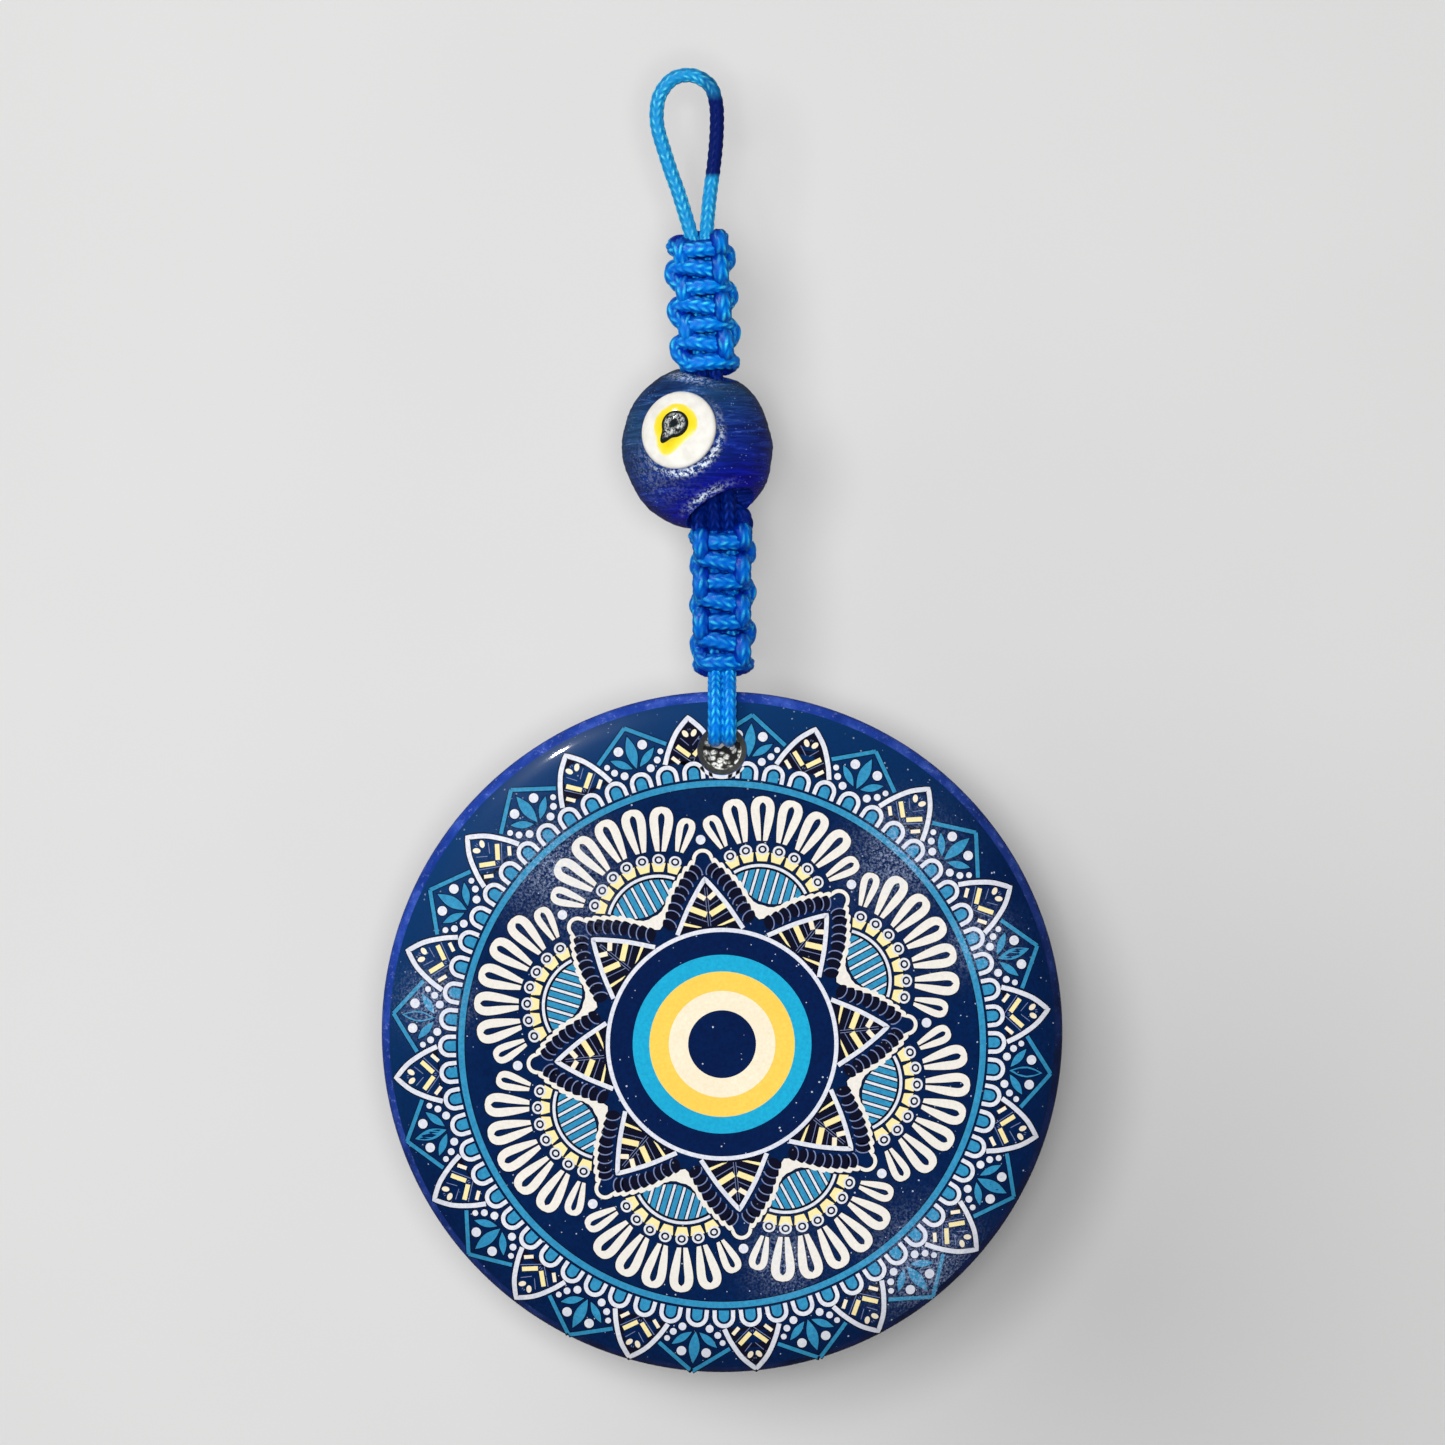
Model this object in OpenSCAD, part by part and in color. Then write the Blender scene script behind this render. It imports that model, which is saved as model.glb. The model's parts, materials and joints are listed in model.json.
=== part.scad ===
// Evil eye ornament: a printed glass disc that hangs from a knotted cord with a glass bead.
// Millimetres. X is to the right, Y is away from the viewer and Z is up.
// The origin is the inner top of the hanging loop, where a nail carries the ornament.

/* [Glass disc] */
// Diameter of the glass disc
disc_d = 80; // [74:1:88]
// Thickness of the glass disc
disc_t = 6.4; // [6:0.1:6.8]
// Diameter of the hole for the tether
hole_d = 4.4; // [4.4:0.1:5]
// Diameter of the ground bevel round the hole
hole_bevel_d = 5.7; // [5.6:0.1:6.4]
// Distance from the top of the rim to the centre of the hole
hole_drop = 6.9; // [6.6:0.1:8]

/* [Print] */
// Diameter of the navy ground film
film_d = 78.8; // [72:0.2:78.8]
// How far the print sits below the centre of the glass
print_drop = 1.3; // [0:0.1:1.5]
// Thickness of each printed layer
ink_t = 0.1; // [0.06:0.02:0.14]

/* [Cord] */
// Diameter of the braided cord
cord_d = 1.7; // [1.5:0.05:1.75]
// Half knots in each knotted band
half_knots = 7; // [5:1:7]
// Height of one half knot in the upper band
upper_pitch = 2.2; // [2.15:0.05:2.4]
// Height of one half knot in the lower band
lower_pitch = 2.35; // [2.15:0.05:2.5]

/* [Bead] */
// Diameter of the glass bead
bead_d = 17.2; // [16.6:0.1:17.4]
// Diameter of the bead's bore
bead_bore_d = 6.5; // [6.4:0.1:6.8]
// How far the heavy side of the bead sags back
bead_tilt = 6.5; // [3:0.5:6.5]
// Diameter of the white eye on the bead
bead_eye_d = 9.2; // [8:0.2:10]

/* [Hidden] */
$fn = 64;

cord_r = cord_d / 2;
soft_end = 0.4;                      // softened part of a strand's end, as a share of its radius
fit = 0.04;                          // play between cords that lie side by side
split_gap = 0.1;                     // between two lengths of strand where a band twists
bend_gap = 0.3;                      // from a strand's end to the bend beside it
loop_gap = 0.4;                      // from the loop's ends to the strands below them

// A half knot is a closed turn of cord round the two core strands.
wrap_r = 1.05;                       // a wrap, where two strands cross and spread
wrap_y = cord_r + wrap_r + fit / 2;  // from the core's middle to the wrap's middle
wrap_x = 0.95;                       // half the straight part of a wrap
core_x = cord_r + fit / 2;           // each core strand's place either side of the middle

// Heights down the strap.
loop_end_z = -18.2;
upper_z = -19.7;                     // first half knot of the upper band
upper_end_z = upper_z - (half_knots - 1) * upper_pitch - wrap_r;
bead_joint_z = upper_end_z - bend_gap;  // where the cords bend between band and bead
bead_z = bead_joint_z - 9;           // middle of the bead
neck_z = bead_z - 8.65;              // where the cords bend below the bead
lower_z = neck_z - 2.1;              // first half knot of the lower band
lower_end_z = lower_z - (half_knots - 1) * lower_pitch - wrap_r;
rim_z = lower_end_z - 2.4;           // top of the glass rim
tether_z = rim_z + 0.9;              // where the tether bends below the last knot
hole_z = rim_z - hole_drop;
run_z = hole_z + 0.95;               // the tether hangs high in the hole
disc_z = rim_z - disc_d / 2;
print_z = disc_z - print_drop;

// The strap leans a little to the right on its way down.
strap_x = 0.9;
bead_top_x = 2.0;
disc_x = 3.6;
upper_lean = atan((bead_top_x - strap_x) / (loop_end_z - bead_joint_z));
bead_lean = atan((disc_x - bead_top_x) / (bead_joint_z - neck_z));
function upper_x(z) = strap_x + (loop_end_z - z) * tan(upper_lean);
function bead_x(z) = bead_top_x + (bead_joint_z - z) * tan(bead_lean);

// The bead was wound off centre, so its bore is nearer the front and the right.
bead_r = bead_d / 2;
bead_offset = 1.6;
bead_centre = [bead_x(bead_z) - bead_offset, bead_offset, bead_z];
bead_mouth_r = 4.6;                  // the bore opens out below, where the glass was pulled away
bead_mouth_h = 3.2;
bead_mouth_out = 0.6;                // how far the mouth's cone starts below the bead
eye_dir = [-14.5, -104];             // the eye faces the viewer, a little up and to the left
eye_white_r = bead_eye_d / 2;
eye_yellow_r = bead_eye_d * 0.29;
eye_pupil_r = bead_eye_d * 0.165;
eye_white_t = 0.45;
eye_yellow_t = 0.1;
eye_pupil_t = 0.35;

// The disc's edge is a full round, with a softer shoulder round the front.
edge_r = disc_t / 2;
shoulder_r = 10;
flat_r = disc_d / 2 - 7;             // where the shoulder starts
back_flat_r = 30;                    // the back falls away outside a flat middle
back_fall = 0.6;
print_gap = 0.05;                    // bare glass between the bevel and the print

// The tether passes over the rim, down both faces and through the hole.
tether_bend_r = 1.6;                 // where it turns into the hole
tether_y = disc_t / 2 + 2 * ink_t + cord_r + 0.05;  // it lies just clear of the print
tether_arc_z = rim_z - disc_t / 2 + 0.45;  // middle of its arc round the rim, with room for the disc to turn
tether_arc_a = 52;                   // how far round the rim each end of it reaches

// Rings of the printed eye, as outer radii.
pupil_r = 3.95;
cream_r = 6.2;
yellow_r = 8.45;
turquoise_r = 10.4;
iris_r = 13.05;
outline_r = 13.8;
border_r = 38.7;

// The loop's own route in X and Z, from the left core strand over the nail to the right one.
LOOP = [
    [strap_x - core_x, loop_end_z], [-0.4, -16.6], [-1.5, -13], [-2.4, -10.5], [-3.2, -8],
    [-3.9, -5.6], [-4.1, -3.8], [-3.8, -1.7], [-2.8, -0.1], [-1.6, 0.7], [0, 0.85], [1.4, 0.3],
    [2.4, -0.7], [2.9, -2.5], [3, -4.5], [2.9, -7], [2.6, -10], [2.2, -13],
    [strap_x + core_x + 0.1, -16.4], [strap_x + core_x, loop_end_z]
];

// Solids that repeat ------------------------------------------------------------------------

// A short cord with softened ends, from z = 0 up to h.
module rod(h, r = cord_r) {
    soft = r * soft_end;
    rotate_extrude()
        polygon([[0, 0], [r - soft, 0], [r, soft], [r, h - soft], [r - soft, h], [0, h]]);
}

// One half knot, lying flat round the origin.
module half_knot() {
    for (side = [-1, 1]) {
        translate([-wrap_x, side * wrap_y, 0]) rotate([0, 90, 0]) cylinder(r = wrap_r, h = 2 * wrap_x);
        translate([side * wrap_x, 0, 0]) rotate([0, 0, -90 * side])
            rotate_extrude(angle = 180) translate([wrap_y, 0]) circle(r = wrap_r);
    }
}

// A point of the smooth curve through p1 and p2, at t from 0 to 1.
function curve_point(p0, p1, p2, p3, t) =
    0.5 * (2 * p1 + (p2 - p0) * t + (2 * p0 - 5 * p1 + 4 * p2 - p3) * t * t
           + (3 * p1 - p0 - 3 * p2 + p3) * t * t * t);

// A smooth curve through a list of points, with steps points to each stretch.
function curve(points, steps) = let (last = len(points) - 1)
    [for (i = [0:last - 1]) for (s = [0:steps - 1])
        curve_point(points[max(i - 1, 0)], points[i], points[i + 1], points[min(i + 2, last)], s / steps),
     points[last]];

function unit(v) = v / norm(v);
function tangent(path, i) = unit(path[min(i + 1, len(path) - 1)] - path[max(i - 1, 0)]);

// A round tube along a flat path, where flat is the direction square to the path's own plane.
module tube(path, flat, r = cord_r, sides = 10) {
    rings = len(path);
    points = [for (i = [0:rings - 1]) let (across = cross(tangent(path, i), flat))
        for (k = [0:sides - 1]) path[i] + r * (cos(k * 360 / sides) * flat + sin(k * 360 / sides) * across)];
    walls = [for (i = [0:rings - 2]) for (k = [0:sides - 1]) let (n = (k + 1) % sides)
        [i * sides + k, i * sides + n, (i + 1) * sides + n, (i + 1) * sides + k]];
    ends = [[for (k = [sides - 1:-1:0]) k], [for (k = [0:sides - 1]) (rings - 1) * sides + k]];
    polyhedron(points = points, faces = concat(walls, ends), convexity = 6);
}

// Places a child with the lean of the upper band, with its origin on the band's middle at z.
module on_upper(z) {
    translate([upper_x(z), 0, z]) rotate([0, -upper_lean, 0]) children();
}

module on_bead_line(z) {
    translate([bead_x(z), 0, z]) rotate([0, -bead_lean, 0]) children();
}

module on_lower(z) {
    translate([disc_x, 0, z]) children();
}

// Two strands side by side from a height down to another, round the middle of the band.
module core_pair(length) {
    for (side = [-1, 1]) translate([side * core_x, 0, -length]) rod(length);
}

// Cord -------------------------------------------------------------------------------------

module hanging_loop() {
    color("deepskyblue") tube([for (p = curve(LOOP, 3)) [p[0], 0, p[1]]], [0, 1, 0], sides = 8);
}

module upper_core_top() {
    color("dodgerblue") on_upper(loop_end_z - loop_gap) core_pair(upper_pitch - split_gap);
}

module upper_core() {
    top = loop_end_z - loop_gap - upper_pitch - split_gap / 2;
    color("dodgerblue") on_upper(top) core_pair(top - upper_end_z);
}

module upper_knot(i) {
    color("deepskyblue") on_upper(upper_z - (i - 1) * upper_pitch) half_knot();
}

// The strands inside the bead stand two by two.
module bead_cords(y) {
    top = bead_joint_z - bend_gap;
    on_bead_line(top) translate([0, y, 0]) core_pair(top - neck_z - bend_gap);
}

module bead_core_cords() {
    color("mediumblue") bead_cords(-core_x);
}

module bead_working_cords() {
    color("mediumblue") bead_cords(core_x);
}

module lower_lead_cords() {
    top = neck_z - bend_gap;
    lead = top - lower_z;
    color("mediumblue") on_lower(top) {
        core_pair(lead + lower_pitch / 2 - split_gap);
        for (side = [-1, 1])
            translate([side * 3 * core_x, 0, wrap_r + split_gap - lead]) rod(lead - wrap_r - split_gap);
    }
}

module lower_core() {
    top = lower_z - lower_pitch / 2 - split_gap;
    color("dodgerblue") on_lower(top) core_pair(top - lower_end_z);
}

module lower_knot(i) {
    color("deepskyblue") on_lower(lower_z - (i - 1) * lower_pitch) half_knot();
}

// The front half of a tether cord's route in Y and Z, from the last knot to the front of the hole.
function tether_half() = concat(
    [for (a = [tether_arc_a:-tether_arc_a / 4:0]) [-tether_y * cos(a), tether_arc_z + tether_y * sin(a)]],
    [[-tether_y, run_z + tether_bend_r]],
    [for (a = [15:15:90])
        [-tether_y + tether_bend_r * (1 - cos(a)), run_z + tether_bend_r * (1 - sin(a))]]);

// One tether cord: down the front, through the hole and up the back.
module tether(side) {
    front = tether_half();
    last = len(front) - 1;
    route = concat(front, [[0, run_z]], [for (i = [last:-1:0]) [-front[i][0], front[i][1]]]);
    color("deepskyblue")
        tube([for (p = route) [disc_x + side * (core_x + fit / 2), p[0], p[1]]], [1, 0, 0]);
}

// Bead ---------------------------------------------------------------------------------------

// The bore and its wide lower mouth, along the sagging bead's own axis.
module bead_bore() {
    translate([bead_x(bead_z), 0, bead_z]) rotate([-bead_tilt, -bead_lean, 0]) {
        cylinder(d = bead_bore_d, h = 3 * bead_r, center = true);
        translate([0, 0, -bead_r - bead_mouth_out])
            cylinder(r1 = bead_mouth_r, r2 = bead_bore_d / 2, h = bead_mouth_h);
    }
}

module bead_glass() {
    color("darkblue") difference() {
        translate(bead_centre) sphere(r = bead_r);
        bead_bore();
    }
}

// A round cap of glass on the bead, between two depths outside its surface.
module eye_cap(r, inner, outer) {
    translate(bead_centre) difference() {
        intersection() {
            sphere(r = bead_r + outer);
            rotate([0, 0, eye_dir[0]]) rotate([eye_dir[1] + 180, 0, 0]) cylinder(r = r, h = 2 * bead_r);
        }
        sphere(r = bead_r + inner);
    }
}

module bead_eye_white() {
    color("white") eye_cap(eye_white_r, 0, eye_white_t);
}

module bead_eye_yellow() {
    color("gold") eye_cap(eye_yellow_r, eye_white_t, eye_white_t + eye_yellow_t);
}

module bead_eye_pupil() {
    base = eye_white_t + eye_yellow_t;
    color("black") eye_cap(eye_pupil_r, base, base + eye_pupil_t);
}

// Disc ---------------------------------------------------------------------------------------

// The disc's round-edged body, swollen by grow, on its own axis with its front at +Z.
module disc_body(grow) {
    rotate_extrude() intersection() {
        union() {
            translate([0, -edge_r - grow]) square([disc_d / 2 - edge_r, disc_t + 2 * grow]);
            translate([disc_d / 2 - edge_r, 0]) circle(r = edge_r + grow);
        }
        union() {
            translate([0, -disc_t]) square([flat_r, 2 * disc_t]);
            translate([flat_r, edge_r - shoulder_r]) circle(r = shoulder_r + grow);
        }
        translate([0, -disc_t]) square([disc_d, 2 * disc_t]);
    }
}

// Turns a shape built on the disc's axis to face the viewer, with its middle at z.
module face_viewer(z) {
    translate([disc_x, 0, z]) rotate([90, 0, 0]) children();
}

// What is taken off the back outside its flat middle.
module back_taper() {
    outer = disc_d / 2 + 1;
    face = -disc_t / 2;
    rotate_extrude()
        polygon([[back_flat_r, face], [outer, face + back_fall], [outer, -disc_t], [back_flat_r, -disc_t]]);
}

module tether_hole(d) {
    translate([disc_x, 0, hole_z]) rotate([90, 0, 0]) cylinder(d = d, h = 3 * disc_t, center = true);
}

module glass_disc() {
    bevel = (hole_bevel_d - hole_d) / 2;
    color("mediumblue") difference() {
        face_viewer(disc_z) difference() {
            disc_body(0);
            back_taper();
        }
        tether_hole(hole_d);
        for (side = [-1, 1])
            translate([disc_x, side * disc_t / 2, hole_z]) rotate([side * 90, 0, 0])
                cylinder(d1 = hole_bevel_d, d2 = hole_d, h = bevel);
    }
}

// A printed layer over the front of the disc, between two heights above the glass.
module ink_layer(inner, outer) {
    face_viewer(disc_z) intersection() {
        difference() {
            disc_body(outer);
            disc_body(inner);
        }
        cylinder(r = disc_d, h = disc_t);
    }
}

module ground_film() {
    color("midnightblue") difference() {
        intersection() {
            ink_layer(0, ink_t);
            face_viewer(print_z) cylinder(d = film_d, h = disc_t);
        }
        tether_hole(hole_bevel_d + 2 * print_gap);
    }
}

module mandala_print() {
    color("lightblue") difference() {
        intersection() {
            ink_layer(ink_t, 2 * ink_t);
            face_viewer(print_z) cylinder(r = border_r, h = disc_t);
        }
        face_viewer(print_z) cylinder(r = outline_r, h = 3 * disc_t, center = true);
        tether_hole(hole_bevel_d + 2 * print_gap);
    }
}

// One flat ring of the printed eye.
module eye_ring(inner_r, outer_r) {
    face_viewer(print_z) translate([0, 0, disc_t / 2 + ink_t]) difference() {
        cylinder(r = outer_r, h = ink_t);
        if (inner_r > 0) translate([0, 0, -ink_t]) cylinder(r = inner_r, h = 3 * ink_t);
    }
}

module eye_outline_print() { color("white") eye_ring(iris_r, outline_r); }
module eye_iris_print() { color("midnightblue") eye_ring(turquoise_r, iris_r); }
module eye_turquoise_print() { color("deepskyblue") eye_ring(yellow_r, turquoise_r); }
module eye_yellow_print() { color("gold") eye_ring(cream_r, yellow_r); }
module eye_cream_print() { color("antiquewhite") eye_ring(pupil_r, cream_r); }
module eye_pupil_print() { color("midnightblue") eye_ring(0, pupil_r); }

hanging_loop();
upper_core_top();
upper_core();
for (i = [1:half_knots]) {
    upper_knot(i);
    lower_knot(i);
}
bead_core_cords();
bead_working_cords();
bead_glass();
bead_eye_white();
bead_eye_yellow();
bead_eye_pupil();
lower_lead_cords();
lower_core();
tether(-1);  // tether_left
tether(1);  // tether_right
glass_disc();
ground_film();
mandala_print();
eye_outline_print();
eye_iris_print();
eye_turquoise_print();
eye_yellow_print();
eye_cream_print();
eye_pupil_print();
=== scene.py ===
"""Evil eye ornament: a printed glass disc that hangs from a knotted cord with a glass bead.

Lengths inside this file are in millimetres in the frame of the CAD model: +X right, +Y away from the
viewer and +Z up, with the origin at the inner top of the hanging loop. Meshes are written in metres.
"""

import json
import math

import bmesh
import bpy
import numpy as np
from mathutils import Matrix, Vector, noise
from mathutils.geometry import delaunay_2d_cdt, tessellate_polygon


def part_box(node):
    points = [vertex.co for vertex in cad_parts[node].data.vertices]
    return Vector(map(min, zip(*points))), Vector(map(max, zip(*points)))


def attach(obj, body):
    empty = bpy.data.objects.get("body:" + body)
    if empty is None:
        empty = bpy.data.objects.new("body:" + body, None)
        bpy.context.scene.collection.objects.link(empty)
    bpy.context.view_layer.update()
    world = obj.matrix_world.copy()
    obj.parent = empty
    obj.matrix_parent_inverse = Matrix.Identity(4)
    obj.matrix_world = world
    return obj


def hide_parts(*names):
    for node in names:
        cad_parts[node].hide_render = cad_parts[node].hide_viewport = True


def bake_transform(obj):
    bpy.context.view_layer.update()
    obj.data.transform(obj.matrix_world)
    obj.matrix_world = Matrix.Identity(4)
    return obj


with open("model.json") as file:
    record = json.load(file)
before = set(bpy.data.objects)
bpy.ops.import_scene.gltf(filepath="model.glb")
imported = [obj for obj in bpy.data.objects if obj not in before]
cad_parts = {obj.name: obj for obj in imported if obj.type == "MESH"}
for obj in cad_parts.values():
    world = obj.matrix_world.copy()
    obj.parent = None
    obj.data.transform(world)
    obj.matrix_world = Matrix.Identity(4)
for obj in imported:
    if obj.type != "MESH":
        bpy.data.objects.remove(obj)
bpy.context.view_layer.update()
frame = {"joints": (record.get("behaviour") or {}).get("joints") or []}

MM = 0.001


def box_mm(node):
    """Lowest corner, highest corner and middle of a CAD node."""
    low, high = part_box(node)
    return low / MM, high / MM, (low + high) / (2 * MM)


joint = {j["name"]: Vector(j["pos_m"]) / MM for j in frame["joints"]}

# Sizes that everything else follows from --------------------------------------------------------

disc_low, disc_high, disc_mid = box_mm("glass_disc")
DISC_R = (disc_high.x - disc_low.x) / 2
HALF_T = (disc_high.y - disc_low.y) / 2
SHOULDER_R = 10.0
FLAT_R = DISC_R - 7.0
BACK_FLAT_R = 30.0
BACK_FALL = 0.6
BACK_FALL_WIDTH = 11.0
HOLE = joint["disc_turn"]
HOLE_R = 2.2
BEVEL_R = 2.86
RIM_SIDES = 256
HOLE_SIDES = 80
# How much painted light the disc's back keeps.
BACK_LIT = 0.15
# How high the crumbled glass stands in the hole, as (share of the depth, height).
CRUMB_PROFILE = [
    (0.02, -2.6), (0.08, -1.7), (0.16, -1.2), (0.25, -0.7), (0.36, -0.2), (0.48, 0.35), (0.6, 0.35),
    (0.78, -0.6), (0.92, -1.8), (0.98, -2.6),
]  # fmt: skip
PRINT = box_mm("eye_pupil_print")[2]
PRINT_SCALE = 1.0065
STAR_TURN = -6.0
RIM_Z = disc_high.z

loop_low, loop_high, _ = box_mm("hanging_loop")
CORD_R = (loop_high.y - loop_low.y) / 2
CORE_X = CORD_R + 0.02
BAR_R = 1.06
PLAIT_COLUMNS = 8
PLAIT_PITCH = 1.05
CORD_SIDES = 40
RING_STEP = 0.12
KNOTS = 7

bead_low, bead_high, bead_mid = box_mm("bead_glass")
BEAD_R = (bead_high.x - bead_low.x) / 2 + 0.2
BEAD_LONG = 1.075
BORE_R = 3.2
bore_axis = next(Vector(j["axis"]) for j in frame["joints"] if j["name"] == "bead_spin")
BEAD_CENTRE = bead_mid + Vector((-0.45, 0, 0)) + bore_axis * 0.55
EYE = (box_mm("bead_eye_white")[2] - bead_mid + Vector((-0.25, 0, -0.3))).normalized()
EYE_UP = (Vector((0, 0, 1)) - EYE * EYE.z).normalized()
EYE_RIGHT = EYE_UP.cross(EYE).normalized()

FRAME_MM = 169.8
CAMERA_FAR = 850.0
MIDDLE = Vector((3.65, 0, -75.2))
GROUND_Y = 108.0
GROUND_REACH = 3000.0


# Small helpers -----------------------------------------------------------------------------------


def mesh_piece(name, points, faces, material, sharp=None):
    """A mesh object from points in millimetres; edges sharper than sharp degrees stay crisp."""
    data = bpy.data.meshes.new(name)
    data.from_pydata([tuple(c * MM for c in p) for p in points], [], faces)
    data.validate()
    data.polygons.foreach_set("use_smooth", [True] * len(data.polygons))
    if sharp is not None:
        data.set_sharp_from_angle(angle=math.radians(sharp))
    data.materials.append(material)
    piece = bpy.data.objects.new(name, data)
    bpy.context.scene.collection.objects.link(piece)
    return piece


def catmull(points, per_stretch=24):
    """A smooth curve through points."""
    p = np.array(points, float)
    ends = np.vstack([2 * p[0] - p[1], p, 2 * p[-1] - p[-2]])
    t = np.linspace(0, 1, per_stretch, endpoint=False)[:, None]
    out = []
    for i in range(len(p) - 1):
        a, b, c, d = ends[i : i + 4]
        out.append(
            0.5 * (2 * b + (c - a) * t + (2 * a - 5 * b + 4 * c - d) * t**2 + (3 * b - a - 3 * c + d) * t**3)
        )
    return np.vstack([*out, p[-1:]])


def even(path, step):
    """The same path with its points the same distance apart."""
    lengths = np.concatenate([[0], np.cumsum(np.linalg.norm(np.diff(path, axis=0), axis=1))])
    count = max(2, int(round(lengths[-1] / step)) + 1)
    at = np.linspace(0, lengths[-1], count)
    return np.stack([np.interp(at, lengths, path[:, k]) for k in range(path.shape[1])], axis=1)


def paint(piece, **values_by_name):
    """Stores a number for each point of a piece, which its material reads by name."""
    for name, values in values_by_name.items():
        attribute = piece.data.attributes.new(name, "FLOAT", "POINT")
        attribute.data.foreach_set("value", np.asarray(values, dtype=np.float32))


def face_outward(piece):
    """Turns every face of a closed piece outward."""
    work = bmesh.new()
    work.from_mesh(piece.data)
    bmesh.ops.recalc_face_normals(work, faces=work.faces)
    work.to_mesh(piece.data)
    work.free()


def clamp(value, low=0.0, high=1.0):
    return max(low, min(high, value))


def bell(value, middle, width):
    """1 at the middle, falling away on both sides."""
    return math.exp(-(((value - middle) / width) ** 2))


def around(ring):
    """Each item of a closed ring with the next one."""
    return zip(ring, ring[1:] + ring[:1])


# Materials ---------------------------------------------------------------------------------------


class Shader:
    """A node tree with a few short ways to add to it. Textures are placed in millimetres."""

    def __init__(self, name):
        self.material = bpy.data.materials.new(name)
        self.material.use_nodes = True
        self.tree = self.material.node_tree
        self.bsdf = self.tree.nodes["Principled BSDF"]

    def feed(self, socket, value):
        """Joins an output to a socket, or sets the socket's own value."""
        if isinstance(value, bpy.types.NodeSocket):
            self.tree.links.new(value, socket)
        elif socket.type == "RGBA":
            socket.default_value = (*value, 1)
        else:
            socket.default_value = value

    def node(self, kind, **settings):
        """A new node; each setting is one of its inputs or else one of its properties."""
        made = self.tree.nodes.new("ShaderNode" + kind)
        for key, value in settings.items():
            socket = made.inputs.get(key.replace("_", " "))
            if socket is None:
                setattr(made, key, value)
            else:
                self.feed(socket, value)
        return made

    def attribute(self, name):
        return self.node("Attribute", attribute_name=name).outputs["Fac"]

    def place(self, stretch=(1, 1, 1), rotation=(0, 0, 0)):
        where = self.node("TexCoord").outputs["Object"]
        scale = [s / MM for s in stretch]
        return self.node("Mapping", Vector=where, Rotation=rotation, Scale=scale).outputs[0]

    def noise(self, scale, detail=3.0, rough=0.55, where=None, distortion=0.0):
        where = where or self.place()
        made = self.node(
            "TexNoise", Vector=where, Scale=scale, Detail=detail, Roughness=rough, Distortion=distortion
        )
        return made.outputs["Fac"]

    def cells(self, scale, stretch=(1, 1, 1)):
        """Distance to the nearest of many scattered points."""
        made = self.node("TexVoronoi", Vector=self.place(stretch), Scale=scale, Randomness=1.0)
        return made.outputs["Distance"]

    def ramp(self, value, stops):
        made = self.node("ValToRGB", Fac=value)
        points = made.color_ramp.elements
        while len(points) < len(stops):
            points.new(0.5)
        for point, (position, colour) in zip(points, stops):
            point.position = position
            point.color = (*colour, 1)
        return made.outputs["Color"]

    def grey(self, value, low, high, out_low=0.0, out_high=1.0):
        ends = {"From_Min": low, "From_Max": high, "To_Min": out_low, "To_Max": out_high}
        return self.node("MapRange", Value=value, **ends).outputs["Result"]

    def math(self, operation, a, b):
        made = self.node("Math", operation=operation)
        self.feed(made.inputs[0], a)
        self.feed(made.inputs[1], b)
        return made.outputs[0]

    def mix(self, factor, a, b):
        made = self.node("Mix", data_type="RGBA")
        for index, value in ((0, factor), (6, a), (7, b)):
            self.feed(made.inputs[index], value)
        return made.outputs[2]

    def finish(self, colour, bump, **values):
        """Sets the colour, the bump as (height, strength, depth) and the plain values."""
        height, strength, depth = bump
        raised = self.node("Bump", Height=height, Strength=strength, Distance=depth * MM)
        self.feed(self.bsdf.inputs["Base Color"], colour)
        self.feed(self.bsdf.inputs["Normal"], raised.outputs["Normal"])
        for key, value in values.items():
            self.bsdf.inputs[key.replace("_", " ")].default_value = value
        return self.material


def cord_material(name, painted_shade, deep, mid, high, crown_glint):
    """Braided polyester, with painted shade deep between the plaits, lighter on them and a painted glint on
    their crowns.
    """
    s = Shader(name)
    fibre = s.noise(7.0, 4.0, 0.7)
    # Patches where the painted shade and glint of the plaits show; elsewhere the plain middle colour.
    worn = s.grey(s.noise(0.6, 2.0), 0.4, 0.58, 0.2, 1.0)
    # The braid's height sets the colour: painted shade in its valleys, a painted glint on its crowns.
    plaits = s.ramp(s.attribute("plait"), [(0.14, deep), (0.46, mid), (0.76, high), (0.98, crown_glint)])
    patchy = s.mix(worn, mid, s.mix(s.grey(fibre, 0.3, 0.62), mid, plaits))
    # Painted shade on the sides facing other strands, and a painted shadow over the loop's right leg.
    colour = s.mix(s.attribute("stain"), s.mix(s.attribute("light"), painted_shade, patchy), (0.001, 0.008, 0.1))
    return s.finish(colour, (fibre, 0.45, 0.06), Roughness=0.34, Specular_IOR_Level=0.4)


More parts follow.
